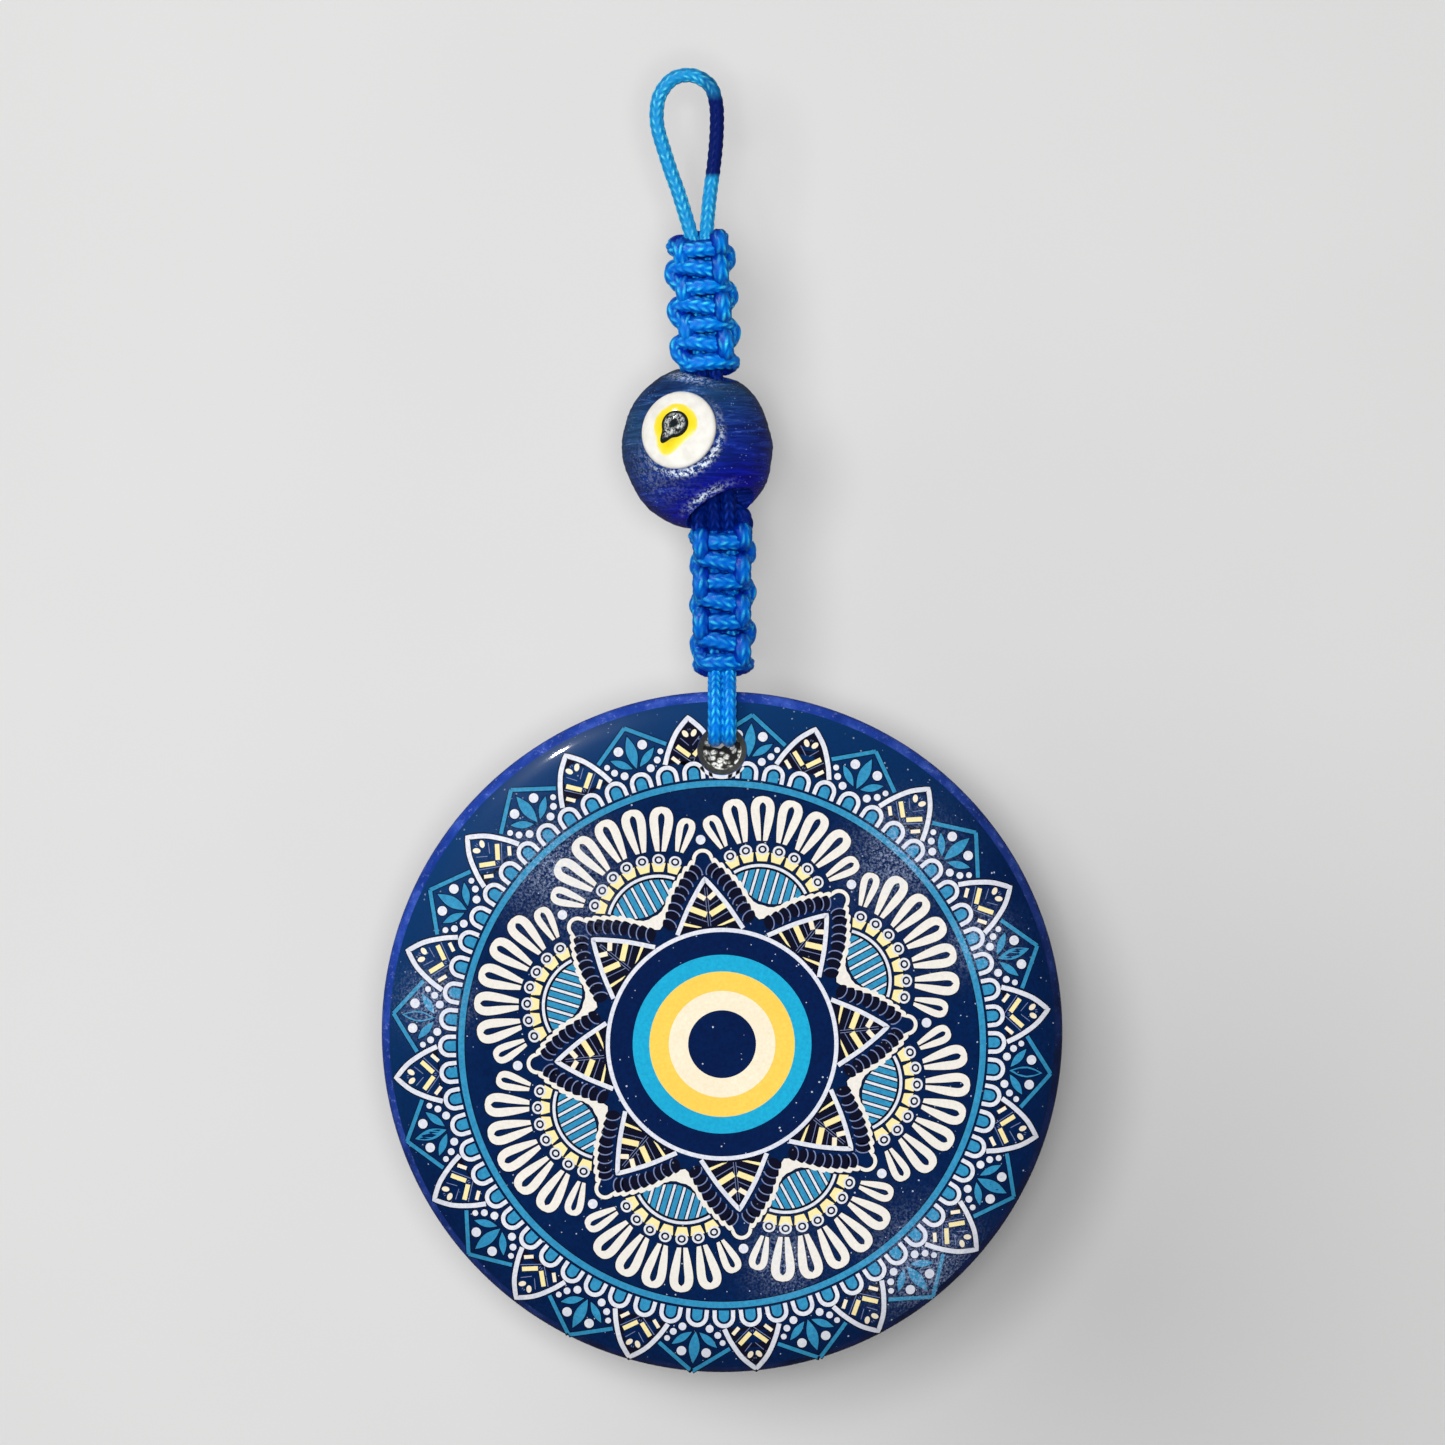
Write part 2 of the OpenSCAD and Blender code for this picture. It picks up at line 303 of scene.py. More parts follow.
def ink_material(name, base, other, dust=0.0):
    """Printed enamel under a clear gloss coat: a little uneven, with dust in the glaze and patches of painted
    glare.
    """
    s = Shader(name)
    colour = s.mix(s.grey(s.noise(2.6, 4.0, 0.65), 0.32, 0.68), other, base)
    colour = s.mix(s.grey(s.noise(0.12, 3.0), 0.45, 0.8, 0.0, 0.6), colour, other)
    bunches = s.grey(s.noise(0.25, 2.0), 0.42, 0.6, 0.045, 0.12)
    specks = s.math("MULTIPLY", s.math("LESS_THAN", s.cells(1.1), bunches), dust)
    colour = s.mix(specks, colour, (0.7, 0.78, 0.95))
    # Painted reflection: lighter and bluer towards the film's upper left edge.
    colour = s.mix(s.attribute("pooled"), colour, (0.004, 0.05, 0.17))
    # Painted glare: speckled light patches where the gloss coat reflects.
    glare_specks = s.math("MULTIPLY", s.attribute("worn"), s.grey(s.noise(3.4, 5.0, 0.8), 0.47, 0.62))
    colour = s.mix(s.grey(glare_specks, 0.0, 1.0, 0.0, 0.55), colour, (0.5, 0.6, 0.85))
    waves = (s.noise(0.5, 2.0), 0.1, 0.05)
    gloss = {"Coat_Weight": 0.6, "Coat_Roughness": 0.06}
    return s.finish(colour, waves, Roughness=0.35, Specular_IOR_Level=0.15, **gloss)


def disc_glass_material():
    """Cobalt glass with painted light towards its upper left edge and painted shade towards its lower right
    and its back.
    """
    s = Shader("disc_glass")
    cloud = s.noise(0.25, 4.0, 0.6)
    lit = s.attribute("lit")
    dark = s.ramp(cloud, [(0.3, (0.001, 0.004, 0.02)), (0.7, (0.006, 0.015, 0.08))])
    lit_stops = [(0.3, (0.006, 0.03, 0.22)), (0.52, (0.014, 0.05, 0.33)), (0.7, (0.05, 0.11, 0.5))]
    bright = s.ramp(cloud, lit_stops)
    streaks = s.grey(s.noise(1.4, 5.0, 0.75), 0.56, 0.72, 0.0, 0.5)
    colour = s.mix(streaks, s.mix(lit, dark, bright), s.mix(lit, (0.02, 0.05, 0.16), (0.3, 0.38, 0.9)))
    waves = (s.noise(0.35, 3.0), 0.15, 0.08)
    return s.finish(colour, waves, Roughness=0.14, Coat_Weight=0.6, Coat_Roughness=0.03, IOR=1.5)


def ground_glass_material():
    """The drill's frosted grey bevel round the hole, and the crumbs of glass inside it."""
    s = Shader("ground_glass")
    chips = s.noise(2.2, 5.0, 0.75)
    cut_colours = [(0.3, (0.03, 0.032, 0.03)), (0.6, (0.06, 0.063, 0.055)), (0.72, (0.1, 0.105, 0.095))]
    smooth_cut = s.ramp(chips, cut_colours)
    white_flecks = [(0.38, (0.95, 0.95, 0.9)), (0.48, (0.35, 0.35, 0.3)), (0.58, (0.02, 0.02, 0.02))]
    rough_cut = s.mix(s.grey(chips, 0.5, 0.6), s.ramp(s.cells(1.25), white_flecks), (0.03, 0.03, 0.025))
    return s.finish(s.mix(s.attribute("crumbled"), smooth_cut, rough_cut), (chips, 0.8, 0.2), Roughness=0.4)


def bead_glass_material():
    """Lampwork cobalt: wound streaks, scratches, bubbles, a deeper low side and painted glints."""
    s = Shader("bead_glass")
    round_bore = s.place((0.18, 0.18, 2.1), bore_axis.rotation_difference(Vector((0, 0, 1))).to_euler())
    streak = s.noise(1.0, 7.0, 0.72, round_bore, 0.9)
    shades = [(0.003, 0.012, 0.05), (0.006, 0.035, 0.14), (0.025, 0.09, 0.28), (0.24, 0.38, 0.62)]
    colour = s.ramp(streak, list(zip((0.34, 0.5, 0.6, 0.72), shades)))
    colour = s.mix(s.grey(s.noise(0.13, 2.0), 0.4, 0.6, 0.0, 0.55), colour, (0.01, 0.055, 0.13))
    violet = s.mix(s.grey(streak, 0.4, 0.62), (0.001, 0.0, 0.12), (0.002, 0.004, 0.36))
    colour = s.mix(s.attribute("deep"), colour, violet)
    patch = s.grey(s.noise(0.5, 2.0), 0.52, 0.62)
    bubbles = s.math("MULTIPLY", patch, s.grey(s.cells(2.2, (1, 1, 1.4)), 0.08, 0.2, 0.8, 0.0))
    colour = s.mix(bubbles, colour, (0.3, 0.5, 0.85))
    # Painted glints: white flecks by the eye's collar, at both mouths of the bore and on the left side.
    white_flecks = s.math("MULTIPLY", s.attribute("glint"), s.grey(s.noise(2.4, 5.0, 0.75), 0.48, 0.56))
    colour = s.mix(white_flecks, colour, (0.75, 0.84, 0.95))
    streaks = (streak, 0.6, 0.15)
    gloss = {"Coat_Weight": 0.5, "Coat_Roughness": 0.04}
    return s.finish(colour, streaks, Roughness=0.2, Specular_IOR_Level=0.35, **gloss)


def white_dot_material():
    """Opaque white glass, softly clouded."""
    s = Shader("white_glass")
    colour = s.ramp(s.noise(0.7, 4.0), [(0.3, (0.7, 0.68, 0.62)), (0.6, (0.8, 0.79, 0.74))])
    bump = (s.noise(1.2, 3.0), 0.12, 0.05)
    return s.finish(colour, bump, Roughness=0.12, Coat_Weight=0.7, Coat_Roughness=0.03)


def yellow_dot_material():
    """Yellow glass that thins to a pale halo at its edge."""
    s = Shader("yellow_glass")
    cloudy = s.math("ADD", s.attribute("reach"), s.grey(s.noise(0.6, 3.0), 0.3, 0.7, -0.08, 0.08))
    shades = [(0.5, 0.4, 0.02), (0.82, 0.62, 0.008), (0.86, 0.7, 0.06), (0.84, 0.8, 0.58)]
    colour = s.ramp(cloudy, list(zip((0.3, 0.62, 0.84, 1.0), shades)))
    bump = (s.noise(1.2, 3.0), 0.12, 0.05)
    return s.finish(colour, bump, Roughness=0.14, Coat_Weight=0.6, Coat_Roughness=0.03)


def pupil_material():
    """Black glass with a painted ring of highlight round its middle."""
    s = Shader("black_glass")
    # A painted highlight: a bright ring of specks round the middle of the pupil.
    ring_stops = [(0.22, (0, 0, 0)), (0.4, (1, 1, 1)), (0.62, (0.9, 0.9, 0.9)), (0.8, (0, 0, 0))]
    ring = s.ramp(s.attribute("reach"), ring_stops)
    shine = s.math("MULTIPLY", ring, s.grey(s.noise(3.6, 4.0, 0.75), 0.46, 0.58))
    colour = s.mix(shine, (0.008, 0.012, 0.016), (0.62, 0.65, 0.64))
    bump = (s.noise(2.0, 3.0), 0.3, 0.08)
    return s.finish(colour, bump, Roughness=0.07, Coat_Weight=0.8, Coat_Roughness=0.03)


def backdrop_material():
    """The plain pale ground. From behind, and for light from behind, it lets everything through."""
    s = Shader("pale_ground")
    tone = s.ramp(s.noise(0.02, 2.0), [(0.3, (0.665, 0.663, 0.66)), (0.7, (0.68, 0.678, 0.675))])
    s.feed(s.bsdf.inputs["Base Color"], tone)
    s.bsdf.inputs["Roughness"].default_value = 0.95
    s.bsdf.inputs["Specular IOR Level"].default_value = 0.0
    from_behind = s.node("NewGeometry").outputs["Backfacing"]
    shadow_ray = s.node("LightPath").outputs["Is Shadow Ray"]
    pick = s.node("MixShader", Fac=s.math("MAXIMUM", from_behind, shadow_ray))
    s.feed(pick.inputs[1], s.bsdf.outputs[0])
    s.feed(pick.inputs[2], s.node("BsdfTransparent").outputs[0])
    s.feed(s.tree.nodes["Material Output"].inputs["Surface"], pick.outputs[0])
    return s.material


def inks():
    """The print's inks by name."""
    made = {
        "film": ink_material("ink_film", (0.0005, 0.015, 0.078), (0.0005, 0.008, 0.045), dust=0.5),
        "dark": ink_material("ink_dark", (0.0025, 0.004, 0.016), (0.004, 0.004, 0.014), dust=0.2),
        "navy": ink_material("ink_navy", (0.0006, 0.013, 0.072), (0.0015, 0.007, 0.045), dust=0.6),
    }
    plain = {
        "slate": ((0.2, 0.24, 0.4), (0.12, 0.16, 0.32)),
        "turquoise": ((0.035, 0.28, 0.48), (0.02, 0.18, 0.35)),
        "bright": ((0.012, 0.38, 0.6), (0.01, 0.29, 0.5)),
        "yellow": ((0.9, 0.58, 0.1), (0.82, 0.5, 0.075)),
        "pale": ((0.84, 0.73, 0.37), (0.76, 0.64, 0.3)),
        "cream": ((0.84, 0.75, 0.58), (0.74, 0.65, 0.48)),
        "white": ((0.73, 0.73, 0.75), (0.52, 0.55, 0.65)),
        "chalk": ((0.76, 0.72, 0.655), (0.66, 0.635, 0.59)),
    }
    for name, (base, other) in plain.items():
        made[name] = ink_material(f"ink_{name}", base, other)
    return made


# Each cord's colours, from the painted shade on its hidden sides to the painted glint on the crowns of its
# plaits.
CORD = cord_material(
    "azure_cord",
    painted_shade=(0.0, 0.015, 0.28), deep=(0.0, 0.03, 0.34), mid=(0.0, 0.16, 0.64), high=(0.002, 0.4, 0.72),
    crown_glint=(0.08, 0.82, 0.9),
)  # fmt: skip
LOOP_CORD = cord_material(
    "cyan_cord",
    painted_shade=(0.0, 0.03, 0.5), deep=(0.004, 0.09, 0.4), mid=(0.008, 0.24, 0.55), high=(0.02, 0.42, 0.64),
    crown_glint=(0.2, 0.8, 0.88),
)  # fmt: skip
SHADED_CORD = cord_material(
    "shaded_cord",
    painted_shade=(0.0, 0.002, 0.02), deep=(0.0, 0.002, 0.03), mid=(0.0, 0.008, 0.12), high=(0.0, 0.02, 0.22),
    crown_glint=(0.01, 0.05, 0.35),
)  # fmt: skip
INKS = inks()


# Cord --------------------------------------------------------------------------------------------


def plait(column, along):
    """Height, 0 to 1, of the braid at a place round the cord, in columns, and along it, in pitches."""
    across = column % 1.0 - 0.5
    slant = np.where(np.floor(column) % 2 == 0, 1.0, -1.0)
    stitch = np.abs(np.sin(math.pi * (along + 0.45 * slant * across * 2)))
    return (1 - np.abs(2 * across) ** 3) * stitch**0.6


def braided_cord(name, path, radius=CORD_R, look=CORD, spine=None, stain=None, bright=1.0):
    """A round braided cord along a path, closed at both ends.

    Where the cord is knotted round a spine, the sides that face other strands get painted shade. A painted
    shadow can darken a stretch of heights, on the right of its middle.
    """
    path = even(np.array(path, float), RING_STEP)
    tangents = np.gradient(path, axis=0)
    tangents /= np.linalg.norm(tangents, axis=1)[:, None]
    side = Vector(tangents[0]).orthogonal().normalized()
    sides = []
    for t in tangents:
        t = Vector(t)
        side = (side - t * side.dot(t)).normalized()
        sides.append(side)
    sides = np.array(sides)
    ups = np.cross(tangents, sides)
    turn = np.linspace(0, 2 * math.pi, CORD_SIDES, endpoint=False)[None, :, None]
    columns = (np.arange(CORD_SIDES) + 0.5) * PLAIT_COLUMNS / CORD_SIDES
    along = np.arange(len(path)) * RING_STEP / PLAIT_PITCH
    lift = plait(columns[None, :], along[:, None])
    reach = radius * (0.86 + 0.18 * lift[..., None])
    points = path[:, None, :] + reach * (np.cos(turn) * sides[:, None, :] + np.sin(turn) * ups[:, None, :])
    points = points.reshape(-1, 3)
    rings = [list(range(start, start + CORD_SIDES)) for start in range(0, len(points), CORD_SIDES)]
    faces = []
    for a, b in zip(rings, rings[1:]):
        faces += [(p, q, s, r) for (p, q), (r, s) in zip(around(a), around(b))]
    faces += [tuple(reversed(rings[0])), tuple(rings[-1])]
    piece = mesh_piece(name, points, faces, look)
    light = np.full(len(points), bright)
    # Painted shade on the sides that face the band's middle.
    if spine is not None:
        foot, down = (np.array(v, float) for v in spine)
        away = points - foot
        away -= (away @ down)[:, None] * down
        away /= np.linalg.norm(away, axis=1)[:, None]
        facing = (points - np.repeat(path, CORD_SIDES, axis=0)) / radius
        light = bright * np.clip((np.sum(facing * away, axis=1) - 0.22) / 0.72, 0, 1)
    stained = np.zeros(len(points))
    # A painted shadow, full above its lowest height and fading to half strength higher up.
    if stain is not None:
        middle, low, high, weak_end = stain
        right = np.clip((points[:, 0] - middle) / 0.6, 0, 1)
        above = np.clip((points[:, 2] - low) / 0.6, 0, 1)
        stained = right * above * (1 - 0.5 * np.clip((points[:, 2] - high) / (weak_end - high), 0, 1))
    paint(piece, plait=lift.reshape(-1), light=light, stain=stained)
    return piece


# A painted shadow down the loop's right leg: x of its inner edge, the height where it starts, where it begins
# to fade and where it is down to half.
LOOP_SHADOW = (1.0, -11.3, -2.2, -1.0)
LOOP_ROUTE = [
    (0.03, -18.2), (-0.4, -16.6), (-1.5, -13), (-2.4, -10.5), (-3.2, -8), (-3.9, -5.6), (-4.1, -3.8),
    (-3.8, -1.7), (-2.8, -0.1), (-1.6, 0.7), (0, 0.85), (1.4, 0.3), (2.4, -0.7), (2.9, -2.5), (3, -4.5),
    (2.9, -7), (2.6, -10), (2.2, -13), (1.87, -16.4), (1.77, -18.2),
]  # fmt: skip


def make_loop():
    """The bare cord that hangs on the nail."""
    path = catmull([(x, 0, z) for x, z in LOOP_ROUTE], 8)
    cord = braided_cord("loop_cord", path, look=LOOP_CORD, stain=LOOP_SHADOW)
    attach(cord, "loop")
    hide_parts("hanging_loop")
    for name, (x, z) in (("left", LOOP_ROUTE[0]), ("right", LOOP_ROUTE[-1])):
        foot = [(x, 0, z + 0.25), (x + 0.02, 0, z - 0.7), (x + 0.08, 0, z - 1.7)]
        end = braided_cord(f"loop_end_{name}", foot, look=LOOP_CORD)
        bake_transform(end)


class Band:
    """A cobra-knot band. Its own axes: x across, y to the back, and level counted in half knots down.

    The strand in front turns back at front_turns, (x, y) for the left and the right, and the one behind at
    back_turns. rise lifts the turns of each side, in levels, and bright scales the painted shade of the cord,
    lower for a band painted darker.
    """

    def __init__(self, name, front_turns, back_turns, turn=0.0, rise=(0.0, 0.0), bright=1.0):
        self.name = name
        self.bright = bright
        self.first = box_mm(f"{name}_knot_1")[2]
        self.step = (box_mm(f"{name}_knot_{KNOTS}")[2] - self.first) / (KNOTS - 1)
        down = self.step.normalized()
        self.back = (Vector((0, 1, 0)) - down * down.y).normalized()
        self.back.rotate(Matrix.Rotation(math.radians(turn), 3, down))
        self.across = self.back.cross(-down).normalized()
        self.front_turns = dict(zip((-1, 1), front_turns))
        self.back_turns = dict(zip((-1, 1), back_turns))
        self.rise = dict(zip((-1, 1), rise))

    def point(self, x, y, level):
        return self.first + self.step * level + self.across * x + self.back * y

    def front_cord(self):
        """The working strand that makes every bar in front, turning back at the sides."""
        way = [(-1.2, 1.7, -0.5), (-2.5, 0.9, -0.45), (-2.9, -0.2, -0.25)]
        for k in range(KNOTS):
            d = 1 if k % 2 == 0 else -1
            slope = 0.08 * d - 0.08
            way += [(-d * 1.9, -1.5, k - slope), (-d * 0.8, -1.95, k - slope / 2)]
            way += [(d * 0.8, -1.95, k + slope / 2), (d * 1.9, -1.5, k + slope)]
            if k < KNOTS - 1:
                out, depth = self.front_turns[d]
                level = k - (self.rise[-1] if d < 0 else 0.0)
                way += [(d * (out - 0.25), depth, level + 0.2), (d * out, depth + 0.1, level + 0.5)]
                way += [(d * (out - 0.25), depth, level + 0.8)]
        return way + [(2.7, -0.4, 6.05), (2.6, 0.9, 6.12), (1.6, 1.9, 6.25), (0.4, 2.3, 6.2)]

    def back_cord(self):
        """The working strand that makes the bars behind and the bumps at the sides."""
        out, depth = self.back_turns[1]
        way = [(-0.6, 1.9, -0.6), (1.2, 1.7, -0.6), (2.4, 0.4, -0.55), (out, depth + 0.8, -0.55)]
        way += [(out + 0.15, depth + 0.2, -0.25), (out, depth + 0.9, 0.05), (2.2, 0.5, 0.1)]
        for k in range(KNOTS):
            d = 1 if k % 2 == 0 else -1
            way += [(d * 1.5, 1.85, k), (0, 1.95, k), (-d * 1.5, 1.85, k)]
            if k < KNOTS - 1:
                out, depth = self.back_turns[-d]
                level = k - self.rise[-d]
                way += [(-d * 2.15, 0.5, k - 0.02), (-d * (out - 0.1), depth + 0.7, level + 0.04)]
                way += [(-d * out, depth, level + 0.28), (-d * out, depth, level + 0.72)]
                way += [(-d * (out - 0.1), depth + 0.7, level + 0.96), (-d * 2.15, 0.5, k + 1.02)]
        return way + [(-2.5, 0.9, 6.1), (-1.7, 1.9, 6.3), (-0.5, 2.3, 6.3)]

    def cord(self, kind, way, radius):
        path = catmull([self.point(*p) for p in way], 10)
        spine = (self.first, self.step.normalized())
        return braided_cord(f"{self.name}_{kind}_cord", path, radius, spine=spine, bright=self.bright)


def make_band(band, core_nodes, spread=0.0):
    """Both working strands and both core strands of a band.

    The core strands are squeezed wider by spread.
    """
    front = band.cord("front", band.front_cord(), BAR_R)
    behind = band.cord("back", band.back_cord(), BAR_R)
    core_x = CORE_X - 0.06 + spread
    cores = []
    for side, x in (("left", -core_x), ("right", core_x)):
        way = [(x, 0, -0.55), (x, 0, 3), (x, 0, 6.4)]
        cores.append(band.cord(f"core_{side}", way, CORD_R + 0.04 + spread))
    for piece in (front, behind, *cores):
        band.point(0, 0, 0.1) * MM
        band.point(0, 0, 0.9) * MM
        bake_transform(piece)
    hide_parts(*(f"{band.name}_knot_{i}" for i in range(1, KNOTS + 1)))
    for piece in cores:
        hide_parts(*core_nodes)


def make_bands():
    """The upper and the lower band, each with the turns that its own knots were pulled to."""
    upper = Band("upper", [(3.25, -1.1), (3.1, 0.2)], [(1.95, -1.8), (2.35, -2.3)], turn=5, rise=(0.3, 0.3))
    make_band(upper, ("upper_core_top", "upper_core"))
    # The lower band's cord is painted darker, as shade.
    lower = Band(
        "lower", [(2.8, 0.1), (3.0, 0.2)], [(2.4, -2.15), (2.35, -2.25)], rise=(0.35, 0.05), bright=0.72
    )
    make_band(lower, ("lower_core",), spread=0.15)
    return upper, lower


def make_bead_strands(upper, lower):
    """The four strands between the bands: through the bead and out to the first lower knot."""
    top = box_mm("bead_working_cords")[1].z
    bottom = box_mm("bead_core_cords")[0].z
    bend, neck = joint["bead_bend"], joint["neck_sway"]
    lean = (neck - bend) / (neck.z - bend.z)

    def on_line(z, x, y):
        return (bend.x + lean.x * (z - bend.z) + x, y, z)

    places = {
        "left_outer": (-1, 1, -3),
        "left_inner": (-1, -1, -1),
        "right_inner": (1, -1, 1),
        "right_outer": (1, 1, 3),
    }
    for name, (side, depth, spread) in places.items():
        x, y = side * CORE_X, depth * CORE_X
        way = [upper.point(x, y * 0.6, 6.35), on_line(top - 0.2, x, y * 0.9), on_line(top - 2, x, y)]
        way.append(on_line(top - 4, x, y))
        upper_part = braided_cord(f"bead_strand_{name}_top", catmull(way), look=SHADED_CORD)
        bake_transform(upper_part)
        way = [on_line(top - 3.9, x, y), on_line(bottom + 4.4, x, y)]
        middle = braided_cord(f"bead_strand_{name}", way, look=SHADED_CORD)
        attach(middle, "bead_cords")
        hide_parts("bead_core_cords" if depth < 0 else "bead_working_cords")
        foot_x = spread * CORE_X
        way = [on_line(bottom + 4.5, x, y), on_line(bottom + 2.4, x * 1.1, y * 0.8)]
        way.append(on_line(bottom + 0.6, foot_x, y * 0.25 - 0.3))
        way.append(lower.point(foot_x, -0.15 if abs(spread) > 1 else 0, -0.45))
        way.append(lower.point(foot_x * 0.9, 0, 0.1))
        lower_part = braided_cord(f"neck_strand_{name}", catmull(way), CORD_R + 0.1, look=SHADED_CORD)
        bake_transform(lower_part)
        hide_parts("lower_lead_cords")


def make_tether():
    """Two strands from the last knot over the rim, through the hole and up the back."""
    face = HALF_T + 1.1
    arc_z = RIM_Z - HALF_T + 0.45
    run_z = HOLE.z + 1.25
    bend = 1.6
    half = [(-1.0, RIM_Z + 3.3), (-1.35, RIM_Z + 2.3), (-2.0, RIM_Z + 1.35)]
    half += [(-face * math.cos(a), arc_z + face * math.sin(a)) for a in np.radians([52, 39, 26, 13, 0])]
    half += [(-face, run_z + bend + 0.4)]
    for a in np.radians([15, 40, 65, 90]):
        half.append((-face + bend * (1 - math.cos(a)), run_z + bend * (1 - math.sin(a))))
    route = half + [(0, run_z)] + [(-y, z) for y, z in reversed(half)]
    for name, side in (("left", -1), ("right", 1)):
        x = HOLE.x + side * (CORE_X - 0.06)
        cord = braided_cord(f"tether_cord_{name}", catmull([(x, y, z) for y, z in route], 8), CORD_R + 0.02)
        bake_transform(cord)
        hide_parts(f"tether_{name}")


# Bead --------------------------------------------------------------------------------------------


def eye_place(p):
    """Distance from the eye's middle, and the angle round it clockwise from the top."""
    d = (p - BEAD_CENTRE).normalized()
    u, v = d.dot(EYE_RIGHT), d.dot(EYE_UP)
    distance = BEAD_R * math.hypot(u, v) if d.dot(EYE) > 0 else 99.0
    return distance, math.degrees(math.atan2(u, v)) % 360


def lumpy(p):
    """The point pushed in or out as wound glass is, with a beaded collar at the eye's lower right."""
    d = (p - BEAD_CENTRE).normalized()
    h = d.dot(bore_axis)
    soft = noise.noise(d * 1.3 + Vector((3, 1, 7))) * 0.25
    wound = math.sin(9 * math.acos(clamp(h, -1)) + 2.5 * noise.noise(d * 1.1)) * 0.05
    fine = noise.noise(Vector((d.x * 2.5, d.y * 2.5, h * 26))) * 0.06
    distance, angle = eye_place(p)
    collar = bell(distance, 4.85, 0.35) * bell(angle, 150, 70) * (0.1 + 0.1 * noise.noise(d * 22))
    return p + d * (soft + wound + fine + collar)


def glint_at(p, turn, from_top, from_bottom):
    """How much painted glint shows: at the eye's collar and at both mouths of the bore."""
    distance, angle = eye_place(p)
    collar = 1.3 * bell(distance, 4.95, 0.36) * bell(angle, 150, 62)
    side = 0.12 * bell(angle, 215, 35) * bell(distance, 6.3, 1.3)
    lip = bell(from_bottom, 0.09, 0.06) * bell((turn + 3.5) % math.tau, 3.1, 0.5)
    top = 0.8 * bell(from_top, 0.12, 0.09) * bell((turn + 3.7) % math.tau, 3.1, 0.6)
    return clamp(collar + lip + top + side)


def make_bead_body():
    """The wound glass, with its bore off centre."""
    toward = (Vector((0, -1, 0)) + bore_axis * bore_axis.y).normalized()
    right = toward.cross(bore_axis).normalized()
    if right.x < 0:
        right = -right
    origin = joint["bead_spin"]
    offset = BEAD_CENTRE - origin
    centre_h = offset.dot(bore_axis)
    offset -= bore_axis * centre_h
    slices, rows_outside, rows_inside = 240, 170, 16
    points, glint, deep = [], [], []
    for i in range(slices):
        turn = 2 * math.pi * i / slices
        out = toward * math.cos(turn) + right * math.sin(turn)
        reach = offset.dot(out)
        radius = math.sqrt(BEAD_R**2 - (offset - out * reach).length ** 2)
        tall = radius * BEAD_LONG
        first = math.asin((BORE_R + 0.4 - reach) / radius)
        last = math.pi - math.asin((BORE_R + 0.9 + 0.25 * math.cos(turn) - reach) / radius)
        for j in range(rows_outside):
            a = first + (last - first) * j / (rows_outside - 1)
            p = origin + out * (reach + radius * math.sin(a)) + bore_axis * (centre_h + tall * math.cos(a))
            points.append(lumpy(p))
            # Painted glint, and a deeper tone towards the low mouth.
            glint.append(glint_at(p, turn, a - first, last - a))
            deep.append(clamp(1.1 - (last - a) / 1.25) * (1 - 0.5 * glint[-1]))
        top_h = centre_h + tall * math.cos(first)
        low_h = centre_h + tall * math.cos(last)
        for j in range(rows_inside):
            t = j / (rows_inside - 1)
            h = low_h + 0.45 + (top_h - low_h - 0.8) * t
            flare = 0.65 * max(0, 1 - t * 7) ** 2 + 0.3 * max(0, 1 - (1 - t) * 9) ** 2
            points.append(origin + out * (BORE_R + flare) + bore_axis * h)
            glint.append(0.0)
            deep.append(0.6)
    rows = rows_outside + rows_inside
    slice_points = [list(range(start, start + rows)) for start in range(0, len(points), rows)]
    faces = []
    for a, b in around(slice_points):
        faces += [(p, r, s, q) for (p, q), (r, s) in zip(around(a), around(b))]
    body = mesh_piece("bead_body", points, faces, bead_glass_material())
    paint(body, glint=glint, deep=deep)
    face_outward(body)
    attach(body, "bead")
    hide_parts("bead_glass")


def glass_cap(name, material, outline, shift, base, rise, soft):
    """A domed dot of glass; outline gives its radius at each angle, clockwise from the top."""
    points, reaches = [], []
    rows, cols = 26, 96
    for r in range(rows + 1):
        t = min(1.0, (r + 0.02) / (rows - 1))
        edge = max(0.0, (t - (1 - soft)) / soft)
        h = base - 0.5 if r == rows else base + rise * math.sqrt(max(0.0, 1 - edge**2))
        for c in range(cols):
            a = 2 * math.pi * c / cols
            reach = outline(math.degrees(a)) * t
            u = shift[0] + reach * math.sin(a)
            v = shift[1] + reach * math.cos(a)
            d = (EYE + (EYE_RIGHT * u + EYE_UP * v) / BEAD_R).normalized()
            along = d.dot(bore_axis)
            surface = BEAD_R / math.sqrt(1 - along**2 + (along / BEAD_LONG) ** 2)
            points.append(BEAD_CENTRE + d * (surface + h))
            reaches.append(t)
    rings = [list(range(start, start + cols)) for start in range(0, len(points), cols)]
    faces = [tuple(rings[0]), tuple(reversed(rings[-1]))]
    for a, b in zip(rings, rings[1:]):
        faces += [(p, r, s, q) for (p, q), (r, s) in zip(around(a), around(b))]
    piece = mesh_piece(name, points, faces, material, sharp=50)
    paint(piece, reach=reaches)
    face_outward(piece)
    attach(piece, "bead")
    return piece


def hill(degrees, middle, width):
    return bell((degrees - middle + 180) % 360, 180, width)


def white_outline(degrees):
    return 5.2 + 0.1 * math.sin(math.radians(2 * degrees) + 0.6)


def yellow_outline(degrees):
    return 2.8 + 1.25 * hill(degrees, 202, 25) - 0.4 * hill(degrees, 140, 28)


def pupil_outline(degrees):
    return 1.58 + 1.1 * hill(degrees, 216, 17)


